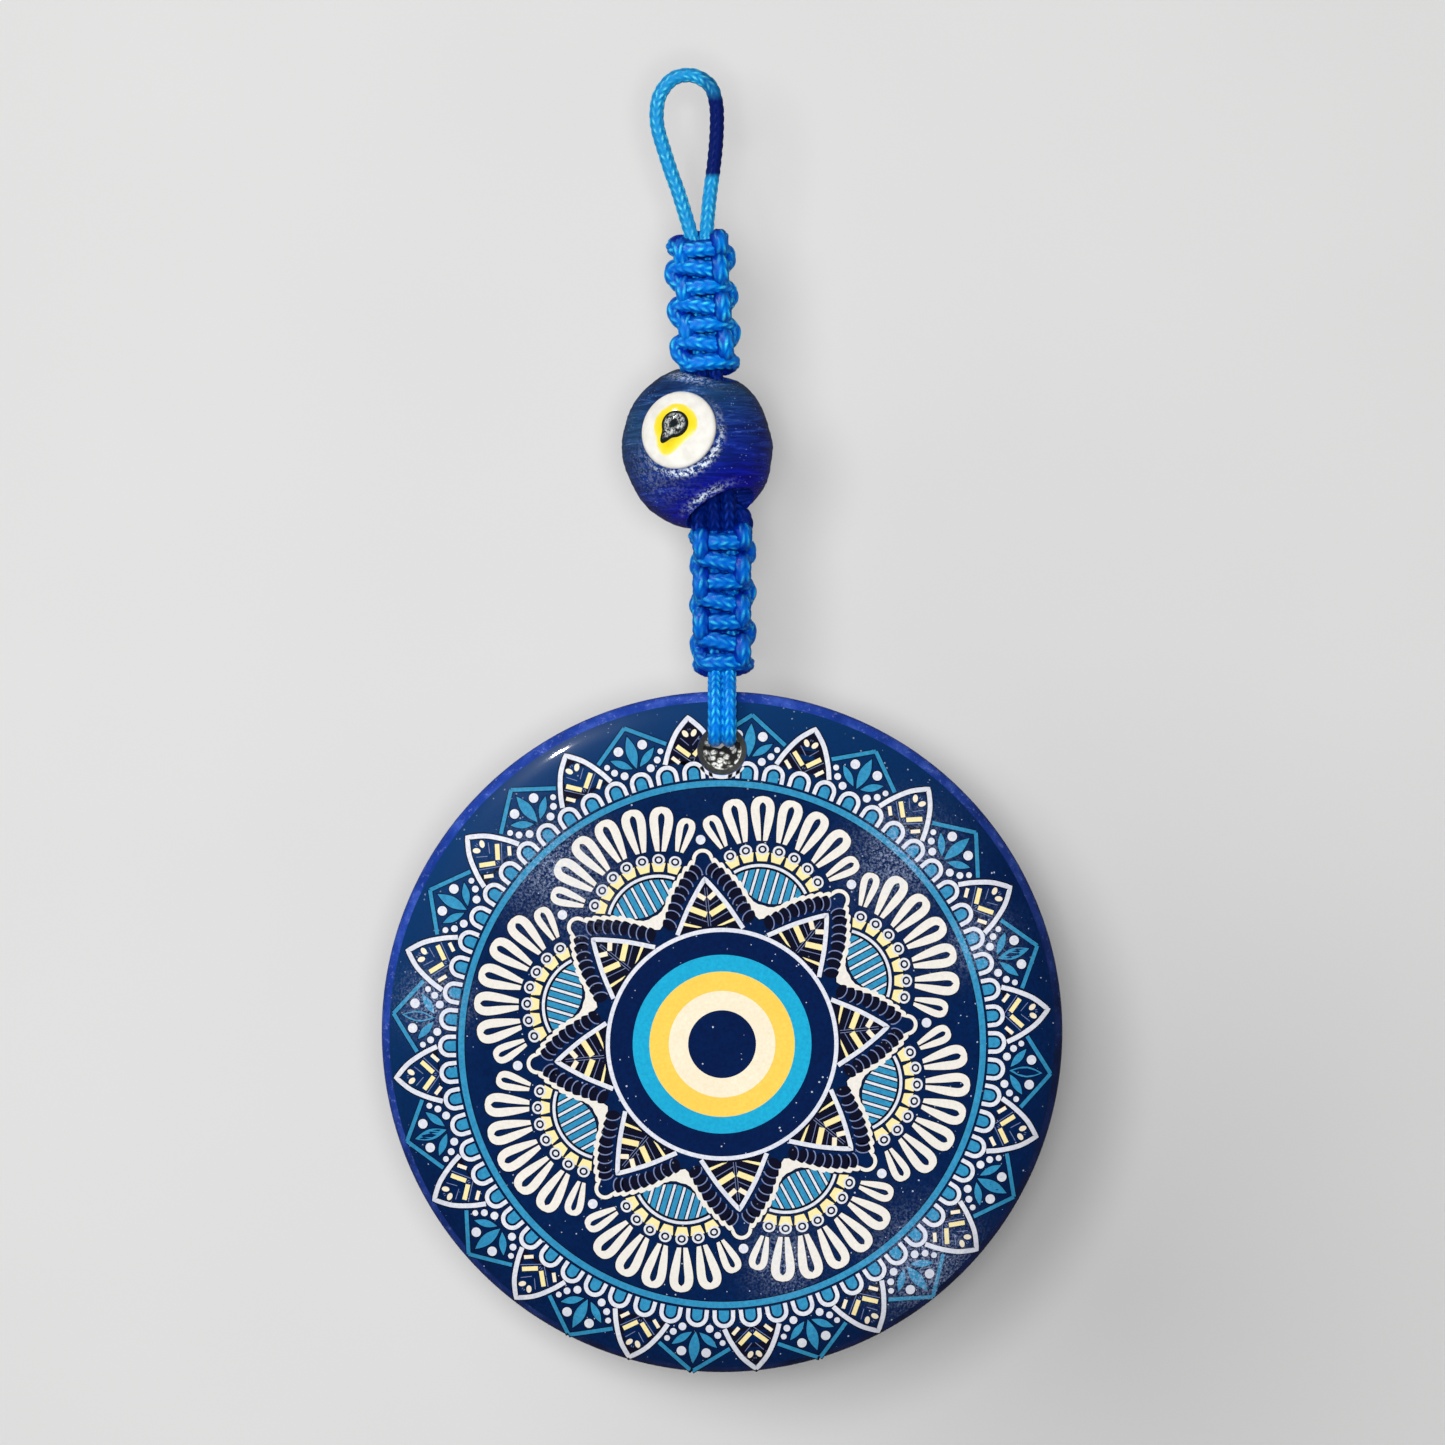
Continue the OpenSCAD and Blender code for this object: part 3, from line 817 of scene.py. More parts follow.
def make_bead():
    """The bead and its eye of three glass dots."""
    make_bead_body()
    dot = glass_cap(
        "bead_eye_dot", white_dot_material(), white_outline, (0, 0), 0.05, 0.5, 0.16
    )
    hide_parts("bead_eye_white")
    spot = glass_cap(
        "bead_eye_spot", yellow_dot_material(), yellow_outline, (-0.1, 0.3), 0.5, 0.1, 0.5
    )
    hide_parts("bead_eye_yellow")
    pupil = glass_cap(
        "bead_eye_pupil", pupil_material(), pupil_outline, (-0.1, 0.42), 0.55, 0.4, 0.9
    )
    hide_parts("bead_eye_pupil")


# Disc --------------------------------------------------------------------------------------------


def from_axis(x, z):
    """Distance of a place from the disc's own axis."""
    return math.hypot(x - disc_mid.x, z - disc_mid.z)


def front(x, z):
    """Depth of the disc's front at a place: flat, then rounding off to the rim."""
    beyond = clamp(from_axis(x, z), FLAT_R, DISC_R - 0.02) - FLAT_R
    return SHOULDER_R - HALF_T - math.sqrt(SHOULDER_R**2 - beyond**2)


def back(x, z):
    """Depth of the disc's back at a place: flat, then falling away a little."""
    r = from_axis(x, z)
    fall = BACK_FALL * max(0.0, (r - BACK_FLAT_R) / BACK_FALL_WIDTH)
    round_off = HALF_T - math.sqrt(max(0.0, HALF_T**2 - max(0.0, r - DISC_R + HALF_T) ** 2))
    return HALF_T - max(fall, round_off)


def on_front(x, z, lift):
    """A point of the face at print coordinates x, z, raised by lift."""
    return (PRINT.x + x, front(PRINT.x + x, PRINT.z + z) - lift, PRINT.z + z)


def circle_points(cx, cz, r, count):
    """Evenly spaced points of a circle, clockwise from the top."""
    turns = (2 * math.pi * i / count for i in range(count))
    return [(cx + r * math.sin(a), cz + r * math.cos(a)) for a in turns]


def pierced_sheet(centre, edge_r, edge_count, hole_r, clear_r, radii):
    """A round flat sheet with the tether hole: its points, its triangles and the indices of both edges."""
    outer = circle_points(*centre, edge_r, edge_count)
    hole = circle_points(HOLE.x, HOLE.z, hole_r, HOLE_SIDES)
    inner = []
    for r in radii:
        ring = circle_points(*centre, r, int(clamp(2 * math.pi * r / 1.2, 12, 256)))
        inner += [p for p in ring if math.dist(p, (HOLE.x, HOLE.z)) > clear_r + 0.25]
    a, b = len(outer), len(hole)
    edges = [(i, (i + 1) % a) for i in range(a)] + [(a + i, a + (i + 1) % b) for i in range(b)]
    points = [Vector(p) for p in outer + hole + inner]
    verts, _, faces, _, _, _ = delaunay_2d_cdt(points, edges, [list(range(a))], 1, 1e-6)
    places = [tuple(v) for v in verts]

    def in_hole(face):
        middle = sum((verts[i] for i in face), Vector((0, 0))) / len(face)
        return (middle - Vector((HOLE.x, HOLE.z))).length <= hole_r * 0.999

    def own(ring):
        return [min(range(len(places)), key=lambda i: math.dist(places[i], p)) for p in ring]

    return places, [f for f in faces if not in_hole(f)], own(outer), own(hole)


def both_faces(triangles, count):
    """The triangles of a sheet's near side, and of its far side, whose points come after the first count."""
    return [tuple(f) for f in triangles] + [tuple(count + i for i in reversed(f)) for f in triangles]


def make_disc():
    """The pressed glass disc with its ground, bevelled hole."""
    edge_r = DISC_R - 0.35
    radii = [3, 8, 13, 18, 23, 28, 32, 33, 34, 35, 36, 37, 37.8, 38.5, 39.1]
    centre = (disc_mid.x, disc_mid.z)
    places, triangles, outer, hole = pierced_sheet(centre, edge_r, RIM_SIDES, BEVEL_R, BEVEL_R, radii)
    n = len(places)
    points = [(x, front(x, z), z) for x, z in places] + [(x, back(x, z), z) for x, z in places]
    faces = both_faces(triangles, n)

    def add_ring(ring, depth):
        start = len(points)
        points.extend((x, depth(x, z), z) for x, z in ring)
        return list(range(start, len(points)))

    def bridge(rows):
        for a, b in zip(rows, rows[1:]):
            faces.extend((p, r, s, q) for (p, q), (r, s) in zip(around(a), around(b)))

    edge = (disc_mid.x + edge_r, disc_mid.z)
    front_y, back_y = front(*edge), back(*edge)
    middle = (front_y + back_y) / 2
    rows = [outer]
    for inset, t in ((0.17, 0.82), (0.06, 0.6), (0.0, 0.3), (0.0, -0.05), (0.05, -0.4), (0.16, -0.75)):
        y = middle + (front_y - middle) * t if t > 0 else middle + (back_y - middle) * -t
        rows.append(add_ring(circle_points(*centre, DISC_R - inset, RIM_SIDES), lambda x, z: y))
    bridge([*rows, [n + i for i in outer]])
    glass_faces = len(faces)

    bevel = BEVEL_R - HOLE_R

    def wall(share, fill):
        """A ring of the hole's wall, with the crumbled glass that fills its lower side up to a height."""
        ring = []
        for x, z in circle_points(0, 0, HOLE_R, HOLE_SIDES):
            beside = clamp((abs(x) - 1.3) / 0.5)
            level = fill + 0.9 * beside + 0.5 * noise.noise(Vector((x * 1.6, share * 9, 4)))
            ring.append((HOLE.x + x, HOLE.z + (max(z, level) if z < 1.4 else z)))
        return add_ring(ring, lambda x, z: (front(x, z) + bevel) * (1 - share) + (back(x, z) - bevel) * share)

    mouth = circle_points(HOLE.x, HOLE.z, HOLE_R + 0.1, HOLE_SIDES)
    rows = [hole, add_ring(mouth, lambda x, z: front(x, z) + bevel)]
    crumbled_from = len(points)
    rows += [wall(share, fill) for share, fill in CRUMB_PROFILE]
    crumbled_to = len(points)
    mouth = circle_points(HOLE.x, HOLE.z, HOLE_R + 0.12, HOLE_SIDES)
    rows.append(add_ring(mouth, lambda x, z: back(x, z) - bevel))
    bridge([*rows, [n + i for i in hole]])
    piece = mesh_piece("disc_body", points, faces, disc_glass_material(), sharp=38)
    piece.data.materials.append(ground_glass_material())
    for polygon in piece.data.polygons[glass_faces:]:
        polygon.material_index = 1
    # Painted light: lighter towards the upper left, darker towards the lower right and on the back.
    lit = []
    for x, y, z in points:
        upper_left = ((z - disc_mid.z) * 0.9 - (x - disc_mid.x) * 0.55) / DISC_R
        gathered = clamp(0.45 + upper_left * 0.75)
        lit.append(gathered + (BACK_LIT - gathered) * clamp(y / HALF_T))
    crumbled = [float(crumbled_from <= i < crumbled_to) for i in range(len(points))]
    paint(piece, lit=lit, crumbled=crumbled)
    face_outward(piece)
    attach(piece, "disc")
    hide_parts("glass_disc")


def make_film():
    """The dark ground film under the print, with its own hole."""
    radii = [4, 10, 16, 22, 28, 32, 33, 34, 35, 36, 37, 37.7, 38.3, 38.8]
    centre = (disc_mid.x, disc_mid.z - 0.25)
    edge_r = DISC_R - 0.95
    places, triangles, outer, hole = pierced_sheet(centre, edge_r, 240, BEVEL_R + 0.04, BEVEL_R, radii)
    n = len(places)
    points = [on_front(x - PRINT.x, z - PRINT.z, lift) for lift in (0.1, -0.03) for x, z in places]
    faces = both_faces(triangles, n)
    for ring in (outer, hole):
        faces += [(a, n + a, n + b, b) for a, b in around(ring)]
    piece = mesh_piece("print_film", points, faces, INKS["film"], sharp=45)
    face_outward(piece)
    mark_worn(piece)
    # Painted reflection, strongest towards the upper left edge of the film.
    pooled = []
    for x, _, z in points:
        out = max(0.0, (from_axis(x, z) / DISC_R - 0.7) / 0.27)
        upper_left = max(0.0, (0.9 * (z - disc_mid.z) - 0.5 * (x - disc_mid.x)) / DISC_R)
        pooled.append(min(0.6, 0.7 * out * upper_left))
    paint(piece, pooled=pooled)
    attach(piece, "disc")
    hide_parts("ground_film")


# Print -------------------------------------------------------------------------------------------

# How far the top of each ink lies above the glass.
LIFTS = {
    "dark": 0.12, "navy": 0.13, "turquoise": 0.15, "bright": 0.15, "yellow": 0.15, "pale": 0.16,
    "cream": 0.16, "slate": 0.14, "white": 0.18, "chalk": 0.17,
}  # fmt: skip
# Where painted glare lies on the glaze, as (x, z, size) from the middle of the print.
GLARE_PATCHES = ((-19, 20, 5), (21, 22, 4.5), (7, -25, 3), (24, -26, 5), (-34, 5, 3), (30, 12, 3))
HOLE_ON_PRINT = Vector((HOLE.x - PRINT.x, HOLE.z - PRINT.z))


def mark_worn(piece):
    """Marks where painted glare lies on the glaze."""
    places = np.array([(v.co.x / MM - PRINT.x, v.co.z / MM - PRINT.z) for v in piece.data.vertices])
    worn = np.zeros(len(places))
    for x, z, size in GLARE_PATCHES:
        worn += np.exp(-((places[:, 0] - x) ** 2 + (places[:, 1] - z) ** 2) / size**2)
    paint(piece, worn=np.clip(worn, 0, 1))


class Print:
    """Flat ink shapes gathered by colour, each a thin closed plate that follows the face."""

    def __init__(self):
        self.points = {ink: [] for ink in LIFTS}
        self.faces = {ink: [] for ink in LIFTS}

    def _plate(self, ink, outline, triangles, lift=None):
        points, faces = self.points[ink], self.faces[ink]
        outline = [(x * PRINT_SCALE, z * PRINT_SCALE) for x, z in outline]
        clear = BEVEL_R + 0.06
        away = [Vector(p) - HOLE_ON_PRINT for p in outline]
        cut = [offset.length < clear for offset in away]
        if any(cut):
            pushed = [tuple(HOLE_ON_PRINT + offset.normalized() * clear) for offset in away]
            outline = [p if c else place for place, p, c in zip(outline, pushed, cut)]
            triangles = [t for t in triangles if not all(cut[i] for i in t)]
        used = {}
        for triangle in triangles:
            for i in triangle:
                used.setdefault(i, len(used))
        start, n = len(points), len(used)
        for height in (lift or LIFTS[ink], 0.05):
            points.extend(on_front(*outline[i], height) for i in used)
        edges = set()
        for triangle in triangles:
            a, b, c = (start + used[i] for i in triangle)
            faces.append((a, b, c))
            faces.append((n + c, n + b, n + a))
            edges.update(((a, b), (b, c), (c, a)))
        faces.extend((b, a, n + a, n + b) for a, b in edges if (b, a) not in edges)

    def fill(self, ink, outline, edge=0.0, lift=None):
        """A filled shape, with a dark edge of its own if edge is not 0."""
        if area(outline) < 0:
            outline = list(reversed(outline))
        if edge:
            self.fill("dark", grow(outline, edge))
        near = min(math.dist(p, HOLE_ON_PRINT) for p in outline) < 6
        dense = subdivide(outline + outline[:1], 0.15 if near else 0.55)[:-1]
        triangles = tessellate_polygon([[Vector((x, z, 0)) for x, z in dense]])
        self._plate(ink, dense, triangles, lift)

    def ribbon(self, ink, line, width, edge=0.0, close=False):
        """A line of ink with a dark edge of its own if edge is not 0."""
        if edge:
            self._band("dark", line, width + 2 * edge, close)
        self._band(ink, line, width, close)

    def _band(self, ink, line, width, close):
        n = len(line)
        left, right = [], []
        for i in range(n + 1 if close else n):
            before, here, after = ring_neighbours(line, i) if close else line_neighbours(line, i)
            tangent = Vector((after[0] - before[0], after[1] - before[1])).normalized()
            normal = Vector((-tangent.y, tangent.x)) * width / 2
            left.append((here[0] + normal.x, here[1] + normal.y))
            right.append((here[0] - normal.x, here[1] - normal.y))
        n = len(left)
        triangles = []
        for i in range(n - 1):
            across = 2 * n - 1 - i
            triangles += [(i, across, across - 1), (i, across - 1, i + 1)]
        self._plate(ink, left + right[::-1], triangles)

    def dot(self, ink, x, z, r, edge=0.0, squash=1.0, turn=0.0):
        c, s = math.cos(math.radians(turn)), math.sin(math.radians(turn))
        ring = []
        for i in range(20):
            a = 2 * math.pi * i / 20
            u, v = r * math.cos(a), r * squash * math.sin(a)
            ring.append((x + u * c + v * s, z - u * s + v * c))
        self.fill(ink, ring, edge)

    def build(self):
        """Makes a piece of each ink and returns them by colour."""
        made = {}
        for ink, points in self.points.items():
            piece = mesh_piece(f"print_{ink}", points, self.faces[ink], INKS[ink], sharp=45)
            face_outward(piece)
            mark_worn(piece)
            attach(piece, "disc")
            made[ink] = piece
        return made


def ring_neighbours(line, i):
    return line[(i - 1) % len(line)], line[i % len(line)], line[(i + 1) % len(line)]


def line_neighbours(line, i):
    return line[max(0, i - 1)], line[i], line[min(len(line) - 1, i + 1)]


def area(outline):
    return sum(a[0] * b[1] - b[0] * a[1] for a, b in around(outline)) / 2


def grow(outline, amount):
    """The outline pushed outward by amount."""
    out = []
    for i in range(len(outline)):
        before, here, after = map(Vector, ring_neighbours(outline, i))
        a = (here - before).normalized()
        b = (after - here).normalized()
        normal = Vector((a.y + b.y, -a.x - b.x))
        if normal.length < 1e-6:
            normal = Vector((a.y, -a.x))
        normal.normalize()
        spread = max(0.45, normal.dot(Vector((a.y, -a.x))))
        out.append(tuple(here + normal * amount / spread))
    return out


def subdivide(line, step):
    """The line with points added so that none are further apart than step."""
    out = []
    for a, b in zip(line, line[1:]):
        count = max(1, math.ceil(math.dist(a, b) / step))
        out += [(a[0] + (b[0] - a[0]) * i / count, a[1] + (b[1] - a[1]) * i / count) for i in range(count)]
    return [*out, line[-1]]


def smooth(points, per=6):
    return [tuple(p) for p in catmull(points, per)]


def polar(r, degrees):
    a = math.radians(degrees)
    return (r * math.sin(a), r * math.cos(a))


def dome_points(wide, foot, tall, low, high, count):
    """Part of an oval that stands on the vertical axis, from angle low to high."""
    return [(wide * math.sin(a), foot + tall * math.cos(a)) for a in np.linspace(low, high, count)]


def turned(points, degrees):
    """Points of a motif that stands on the vertical axis, turned clockwise to its own axis."""
    c, s = math.cos(math.radians(degrees)), math.sin(math.radians(degrees))
    return [(x * c + z * s, -x * s + z * c) for x, z in points]


def mirrored(points):
    return [(-x, z) for x, z in points]


def both_sides(points):
    return (points, mirrored(points))


def bar(inner, outer, width):
    """A straight bar with square ends."""
    a, b = Vector(inner), Vector(outer)
    side = (b - a).normalized()
    side = Vector((-side.y, side.x)) * width / 2
    return [tuple(a + side), tuple(a - side), tuple(b - side), tuple(b + side)]


def leaf(a, b, width):
    """A pointed leaf from a to b."""
    a, b = Vector(a), Vector(b)
    along = b - a
    side = Vector((-along.y, along.x)).normalized() * width / 2
    shares = [i / 10 for i in range(10)]
    up = [a + along * t + side * math.sin(math.pi * t) for t in shares]
    down = [b - along * t - side * math.sin(math.pi * (1 - t)) for t in shares]
    return [tuple(p) for p in up + down]


def eye_rings(ink):
    """The printed eye in the middle."""
    rings = (
        ("eye_pupil_print", "navy"), ("eye_cream_print", "cream"), ("eye_yellow_print", "yellow"),
        ("eye_turquoise_print", "bright"), ("eye_iris_print", "navy"), ("eye_outline_print", "white"),
    )  # fmt: skip
    inner = 0.0
    for node, colour in rings:
        low, high, _ = box_mm(node)
        outer = (high.x - low.x) / 2
        if node == "eye_outline_print":
            ink.ribbon(colour, circle_points(0, 0, inner + 0.24, 180), 0.48, close=True)
        elif inner == 0.0:
            ink.fill(colour, circle_points(0, 0, outer, 180))
        else:
            ink.ribbon(colour, circle_points(0, 0, (inner + outer) / 2, 180), outer - inner, close=True)
        inner = outer


def hairlines(ink, axis, ribs, seam):
    """Fine lines inside a petal: ribs as (low z, outer x, high z) and a seam on both sides of its axis."""
    for low, out, high in ribs:
        for half in both_sides([(0.2, low), (out, high)]):
            ink.ribbon("slate", turned(half, axis), 0.08)
    for half in both_sides(seam):
        ink.ribbon("slate", turned(half, axis), 0.07)


def star_petal(ink, axis):
    """One of the eight pointed petals round the eye."""
    edge = smooth([polar(13.7, 16.3), (2.35, 15.95), (1.0, 18.0), (0.0, 19.35)], 8)
    whole = edge + mirrored(edge[:-1])[::-1]
    base_arc = [polar(13.6, a) for a in np.linspace(-16, 16, 12)]
    ink.fill("dark", turned(whole + base_arc, axis))
    ink.ribbon("white", turned(whole, axis), 0.52, edge=0.13)
    for half in both_sides([(0.2, 17.0), (1.15, 17.7)]):
        ink.fill("cream", turned(bar(*half, 0.55), axis))
    for half in both_sides([(0.22, 15.15), (2.15, 16.12)]):
        ink.fill("pale", turned(bar(*half, 0.66), axis))
    for half in both_sides([(0.85, 13.75), (3.15, 14.6), (3.3, 14.25), (1.5, 13.75)]):
        ink.fill("pale", turned(half, axis))
    hairlines(ink, axis, ((16.1, 1.7, 16.95), (14.3, 2.8, 15.5)), [(0.14, 13.8), (0.14, 18.3)])


# Edges of the scalloped wave, as (degrees from the star axis, radius).
WAVE_OUT = [
    (2.9, 21.8), (6.1, 21.0), (8.8, 20.1), (12.4, 19.05), (14.8, 18.15), (16.6, 17.4), (18.4, 17.0),
    (20.5, 16.8), (22.5, 16.85),
]  # fmt: skip
WAVE_IN = [
    (2.9, 21.25), (6.1, 20.4), (8.8, 19.45), (11.9, 18.45), (14.8, 17.3), (17.8, 16.3), (19.6, 15.75),
    (22.5, 15.35),
]  # fmt: skip
WAVE_START = 2.9
SCALLOPS = 8
SCALLOP_PITCH = (20.6 - WAVE_START) / SCALLOPS


def along_table(table, degrees):
    return float(np.interp(degrees, [p[0] for p in table], [p[1] for p in table]))


def wave_edges():
    """The outer and the inner edge of the white wave, with its scallops."""
    outer_edge, inner_edge = [], []
    for d in np.linspace(WAVE_START, 22.5, 121):
        t = (d - WAVE_START) / SCALLOP_PITCH
        bump = abs(math.sin(math.pi * t)) if t < SCALLOPS else 0.0
        fade = max(0.0, 1 - max(0.0, d - 13) / 6)
        outer_edge.append(polar(along_table(WAVE_OUT, d) + 0.26 * (bump - 0.6) * fade, d))
        inner_edge.append(polar(along_table(WAVE_IN, d) + 0.34 * (bump - 0.6), d))
    return outer_edge, inner_edge


def lobe(degrees, wide, tall, start, end, count):
    """An oval drop, or part of its edge, hanging inward from the wave."""
    here = Vector(polar(along_table(WAVE_IN, degrees), degrees))
    there = Vector(polar(along_table(WAVE_IN, degrees + 0.5), degrees + 0.5))
    down = (there - here).normalized()
    inward = Vector((-down.y, down.x))
    if inward.dot(here) > 0:
        inward = -inward
    middle = here + inward * 0.74
    turns = np.radians(np.linspace(start, end, count))
    return [middle - down * wide * math.sin(t) - inward * tall * math.cos(t) for t in turns]


def wave(ink, axis):
    """The scalloped dark band round a star petal and the white wave that borders it."""
    outer_edge, inner_edge = wave_edges()
    dome_out = dome_points(1.25, 21.6, 1.25, 0, 1.45, 10)
    dome_in = dome_points(0.82, 21.6, 0.82, 0, 1.45, 10)
    outline = dome_out + outer_edge + inner_edge[::-1] + dome_in[::-1]
    for side in (1, -1):
        ink.fill("chalk", turned([(side * x, z) for x, z in outline], axis), edge=0.1)
        for i in range(SCALLOPS):
            d = WAVE_START + SCALLOP_PITCH * (i + 0.5)
            drop = lobe(d, 0.56, 0.86, 0, 342, 20)
            rim = lobe(d, 0.6, 0.92, 25, 165, 12)
            ink.fill("dark", turned([(side * x, z) for x, z in drop], axis))
            ink.ribbon("slate", turned([(side * x, z) for x, z in rim], axis), 0.13)


# Edges of a loop of the fan, as (x, z) from the fan's foot.
LOOP_OUT = [(0.62, 8.8), (0.95, 10.0), (1.26, 11.4), (1.38, 12.5), (1.22, 13.3), (0.75, 13.83), (0.0, 14.0)]
LOOP_SLIT = [(0.12, 8.8), (0.17, 10.0), (0.26, 11.3), (0.37, 12.3), (0.33, 12.95), (0.0, 13.3)]
FAN_FOOT = 15.5
SEED_Z = 7.8


def on_fan(points, axis, degrees=0.0):
    """Points about the fan's foot, turned by degrees there and then to the fan's own axis."""
    return turned([(x, z + FAN_FOOT) for x, z in turned(points, degrees)], axis)


def fan(ink, axis):
    """A half dome with stripes, seven seeds and seven loops."""
    under = [(u, 17.0 + 0.13 * u * u - FAN_FOOT) for u in np.linspace(-4.0, 4.0, 24)]
    dome = [polar(5.8, a) for a in np.linspace(43, -43, 30)]
    ink.fill("dark", on_fan(under + dome, axis))
    for i in range(-3, 4):
        stripe(ink, axis, "turquoise", i * 1.18, 0.6)
    for i in range(-4, 4):
        stripe(ink, axis, "white", (i + 0.5) * 1.18, 0.3)
    ink.ribbon("white", on_fan([polar(5.93, a) for a in np.linspace(-47, 47, 40)], axis), 0.34, edge=0.12)
    for k in range(-3, 4):
        seed(ink, axis, k * 14.3)
    for k in range(-3, 4):
        fan_loop(ink, axis, k)


def stripe(ink, axis, colour, u, width):
    """One upright stripe of the half dome, cut off by its arc above and by the wave below."""
    columns = np.linspace(u - width / 2, u + width / 2, 5)
    top = [(x, math.sqrt(5.5**2 - x * x)) for x in columns]
    bottom = [(x, 17.15 + 0.13 * x * x - FAN_FOOT) for x in columns]
    if top[0][1] - bottom[0][1] > 0.2 and top[-1][1] - bottom[-1][1] > 0.2:
        ink.fill(colour, on_fan(bottom + top[::-1], axis))


def seed(ink, axis, turn):
    """A white ring with a white pip in its dark middle, on a pale foot."""
    ring = circle_points(0, 0, 1, 28)

    def oval(share):
        return on_fan([(x * 0.74 * share, SEED_Z + z * 0.68 * share) for x, z in ring], axis, turn)

    ink.fill("pale", on_fan([(-0.82, 7.45), (-0.55, 6.42), (0.55, 6.42), (0.82, 7.45)], axis, turn), edge=0.1)
    ink.fill("white", oval(1), edge=0.1)
    ink.fill("dark", oval(0.66), lift=0.2)
    ink.fill("white", oval(0.36), lift=0.22)


def fan_loop(ink, axis, k):
    """A long white loop round a slit; the first and the last of the seven are smaller."""
    small = abs(k) == 3
    wide = 0.78 if small else 1.0
    turn = math.copysign(44.0, k) if small else k * 15.0

    def shaped(edge):
        return smooth([(x * wide, 9.05 + (z - 8.8) * 4.05 / 5.2 if small else z) for x, z in edge], 4)

    outer_edge, slit = shaped(LOOP_OUT), shaped(LOOP_SLIT)
    outline = outer_edge + mirrored(outer_edge[:-1])[::-1] + mirrored(slit[:-1]) + slit[::-1]
    ink.fill("chalk", on_fan(outline, axis, turn), edge=0.1)


def arch(ink, axis):
    """One small arch of the border's inner row."""
    line = [(-1.07, 30.95), *dome_points(1.07, 31.75, 1.05, -1.5, 1.5, 14), (1.07, 30.95)]
    ink.ribbon("white", turned(line, axis), 0.48, edge=0.12)
    top = dome_points(0.58, 31.72, 0.6, -1.4, 1.4, 9)
    ink.fill("turquoise", turned([(-0.58, 30.98), (-0.58, 31.7), *top, (0.58, 31.7), (0.58, 30.98)], axis))


def outer_petal(ink, axis):
    """A pointed white petal of the border."""
    edge = smooth([(3.2, 33.0), (2.6, 34.6), (1.5, 36.6), (0.0, 38.2)], 6)
    whole = edge + mirrored(edge[:-1])[::-1]
    ink.fill("dark", turned(whole, axis))
    ink.ribbon("white", turned(whole, axis), 0.55, edge=0.13)
    for side in (1, -1):
        ink.dot("cream", *turned([(side * 0.5, 36.35)], axis)[0], 0.3, squash=1.5, turn=axis + side * 35)
    for half in both_sides([(0.24, 33.75), (1.62, 35.0)]):
        ink.fill("pale", turned(bar(*half, 0.52), axis))
    for half in both_sides([(1.5, 33.0), (2.3, 33.75)]):
        ink.fill("cream", turned(bar(*half, 0.42), axis))
    hairlines(ink, axis, ((34.95, 1.1, 35.9), (33.1, 2.05, 34.7)), [(0.12, 33.4), (0.12, 36.9)])


# The dots on each side of a diamond, as (degrees from its axis, radius, size).
SPRAY = [(2.3, 36.05, 0.56), (5.35, 34.8, 0.34), (4.4, 33.9, 0.4), (2.75, 33.15, 0.46)]


def diamond(ink, axis):
    """A turquoise chevron over three leaves and a spray of dots."""
    for half in both_sides([(0.0, 38.45), polar(35.5, 6.7)]):
        ink.ribbon("turquoise", turned(subdivide(half, 0.5), axis), 0.46, edge=0.1)
    ink.fill("turquoise", turned(leaf((0, 33.55), (0, 37.45), 1.24), axis), edge=0.1)
    for side in (1, -1):
        ends = (polar(33.65, side * 0.75), polar(35.4, side * 4.3))
        ink.fill("turquoise", turned(leaf(*ends, 0.85), axis), edge=0.1)
        for degrees, r, size in SPRAY:
            ink.dot("white", *turned([polar(r, side * degrees)], axis)[0], size, edge=0.1)


def hole_smile(ink):
    """A white arc under the tether hole."""
    width = 0.42
    middle = HOLE_ON_PRINT / PRINT_SCALE
    r = BEVEL_R + width / 2 + 0.05
    line = [(middle.x - x, middle.y - z) for x, z in (polar(r, a) for a in np.linspace(52, -52, 24))]
    ink.ribbon("white", line, width, edge=0.06)


def make_print():
    """Every ink of the mandala."""
    ink = Print()
    eye_rings(ink)
    for k in range(8):
        axis = STAR_TURN + 45 * k
        star_petal(ink, axis)
        wave(ink, axis)
        fan(ink, axis + 22.5)
        ink.dot("white", *turned([(0, 23.9)], axis)[0], 0.56, edge=0.1)
    ink.ribbon("turquoise", circle_points(0, 0, 30.33, 360), 0.72, edge=0.12, close=True)
    for k in range(64):
        arch(ink, STAR_TURN + 5.625 * k)
    for k in range(16):
        outer_petal(ink, STAR_TURN + 22.5 * k)
        diamond(ink, STAR_TURN + 22.5 * k + 11.25)
    hole_smile(ink)
    pieces = ink.build()
    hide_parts("eye_pupil_print", "eye_iris_print")
    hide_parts("eye_cream_print")
    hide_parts("eye_yellow_print")
    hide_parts("eye_turquoise_print")
    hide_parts("eye_outline_print")
    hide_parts("mandala_print")


# Stage -------------------------------------------------------------------------------------------


def area_light(name, place, size, power, glossy=False, diffuse=True):
    """A round soft light aimed at the middle of the ornament."""
    data = bpy.data.lights.new(name, "AREA")
    data.shape = "DISK"
    data.size = size * MM
    data.energy = power
    light = bpy.data.objects.new(name, data)
    light.location = (MIDDLE + Vector(place)) * MM
    light.rotation_euler = (-Vector(place)).to_track_quat("-Z", "Y").to_euler()
    light.visible_glossy = glossy
    light.visible_diffuse = diffuse
    bpy.context.scene.collection.objects.link(light)


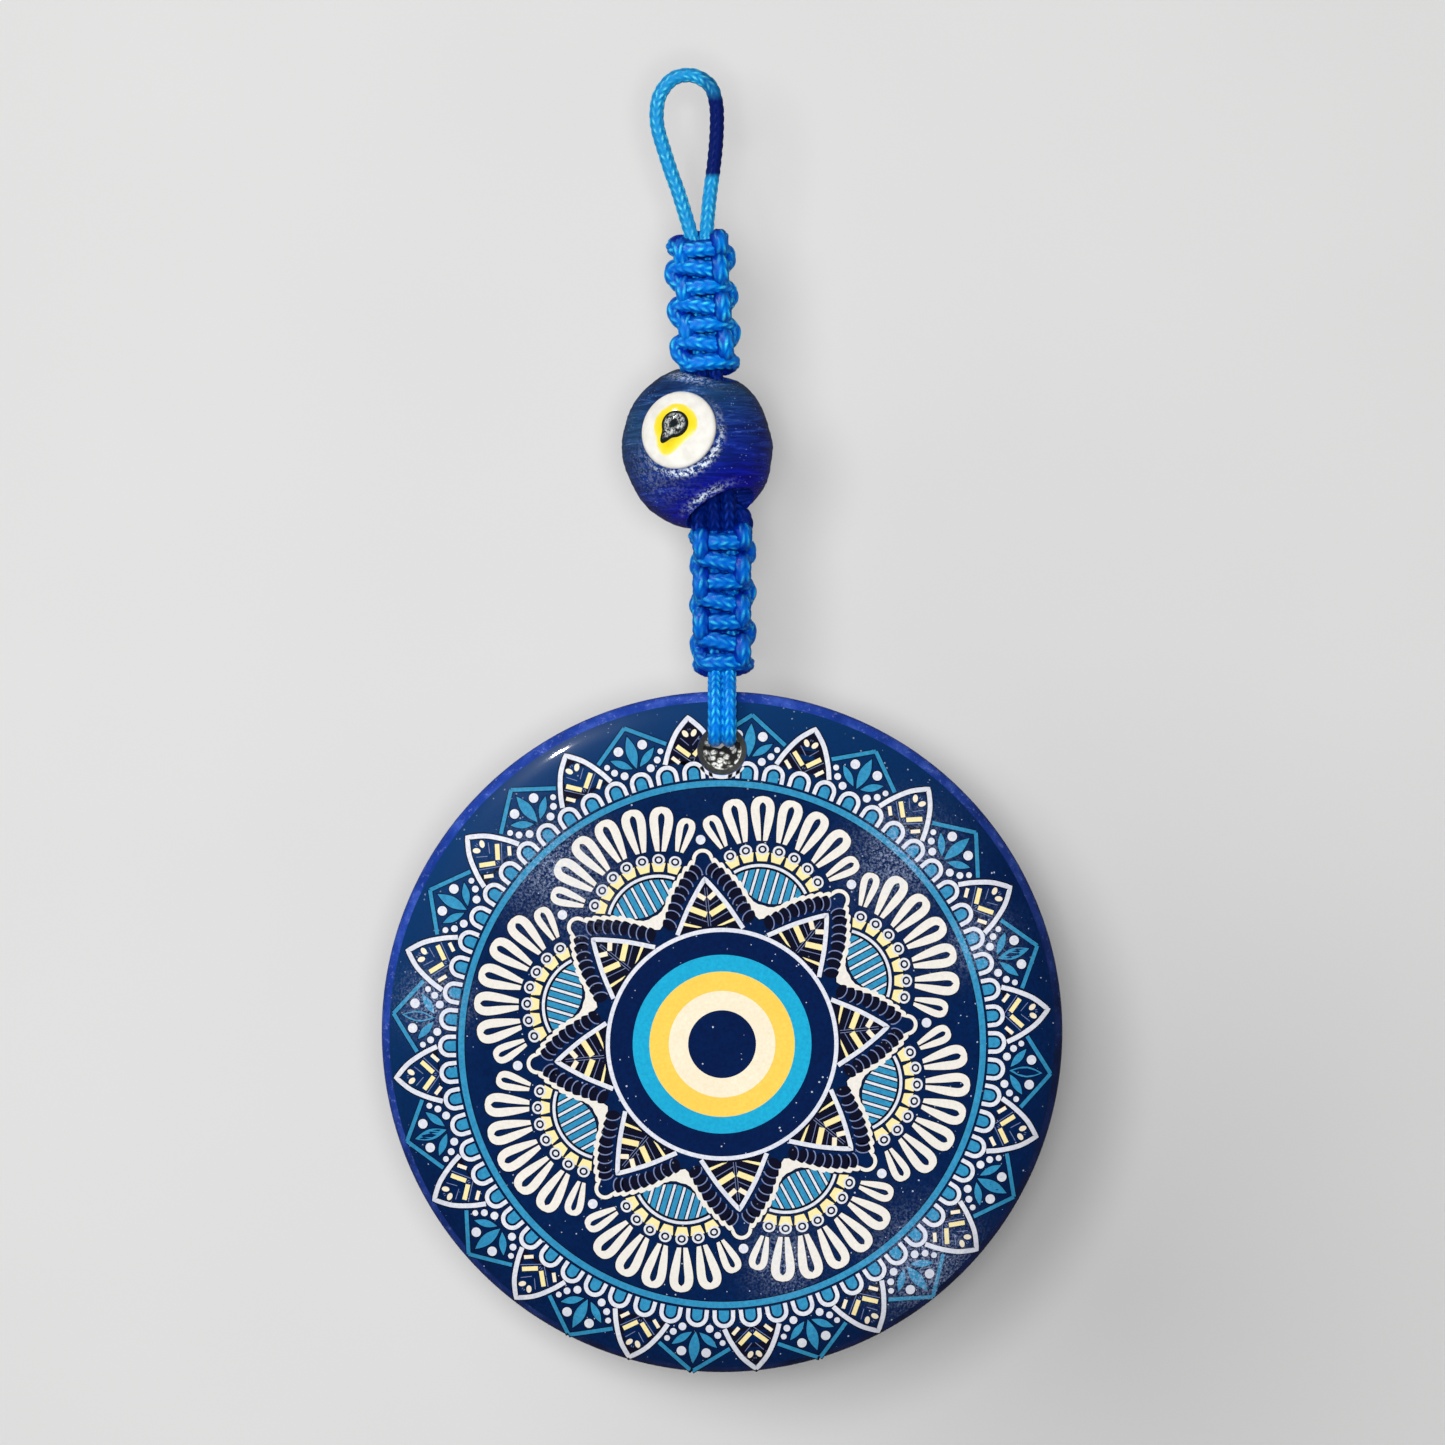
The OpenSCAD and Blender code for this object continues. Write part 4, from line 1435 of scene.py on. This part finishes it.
def make_ground():
    """A plain pale plane behind the ornament, far enough for every pose."""
    corners = [(-1, -1), (1, -1), (1, 1), (-1, 1)]
    points = [(MIDDLE.x + x * GROUND_REACH, GROUND_Y, MIDDLE.z + z * GROUND_REACH) for x, z in corners]
    ground = mesh_piece("pale_ground", points, [(0, 1, 2, 3)], backdrop_material())
    ground.visible_glossy = False


def make_world():
    """Dim light from all round; the camera itself sees a grey like the ground's."""
    world = bpy.data.worlds.new("pale_world")
    bpy.context.scene.world = world
    world.use_nodes = True
    tree = world.node_tree
    dim = tree.nodes["Background"]
    dim.inputs["Color"].default_value = (1.0, 0.98, 0.95, 1)
    dim.inputs["Strength"].default_value = 0.05
    seen = tree.nodes.new("ShaderNodeBackground")
    seen.inputs["Color"].default_value = (0.69, 0.69, 0.69, 1)
    pick = tree.nodes.new("ShaderNodeMixShader")
    path = tree.nodes.new("ShaderNodeLightPath")
    tree.links.new(path.outputs["Is Camera Ray"], pick.inputs[0])
    tree.links.new(dim.outputs[0], pick.inputs[1])
    tree.links.new(seen.outputs[0], pick.inputs[2])
    tree.links.new(pick.outputs[0], tree.nodes["World Output"].inputs["Surface"])


def make_stage():
    """The ground, soft light from the upper left and in front, and the camera straight ahead."""
    make_ground()
    make_world()
    area_light("soft_key", (-420, -840, 280), 760, 5.4)
    area_light("sun_glint", (-540, -560, 840), 60, 3.6, glossy=True, diffuse=False)
    area_light("front_fill", (0, -CAMERA_FAR, 0), 60, 3.7)
    area_light("shadow_key", (-60, -CAMERA_FAR, 34), 80, 2.6)
    area_light("back_left", (-400, 500, 250), 300, 3.0)
    area_light("back_right", (420, 420, 120), 260, 1.4)
    data = bpy.data.cameras.new("camera")
    data.sensor_width = 36.0
    data.lens = data.sensor_width * CAMERA_FAR / FRAME_MM
    camera = bpy.data.objects.new("camera", data)
    camera.location = (MIDDLE - Vector((0, CAMERA_FAR, 0))) * MM
    camera.rotation_euler = (math.radians(90), 0, 0)
    bpy.context.scene.collection.objects.link(camera)
    bpy.context.scene.camera = camera
    bpy.context.scene.view_settings.view_transform = "Standard"


make_loop()
upper_band, lower_band = make_bands()
make_bead_strands(upper_band, lower_band)
make_tether()
make_bead()
make_disc()
make_film()
make_print()
make_stage()
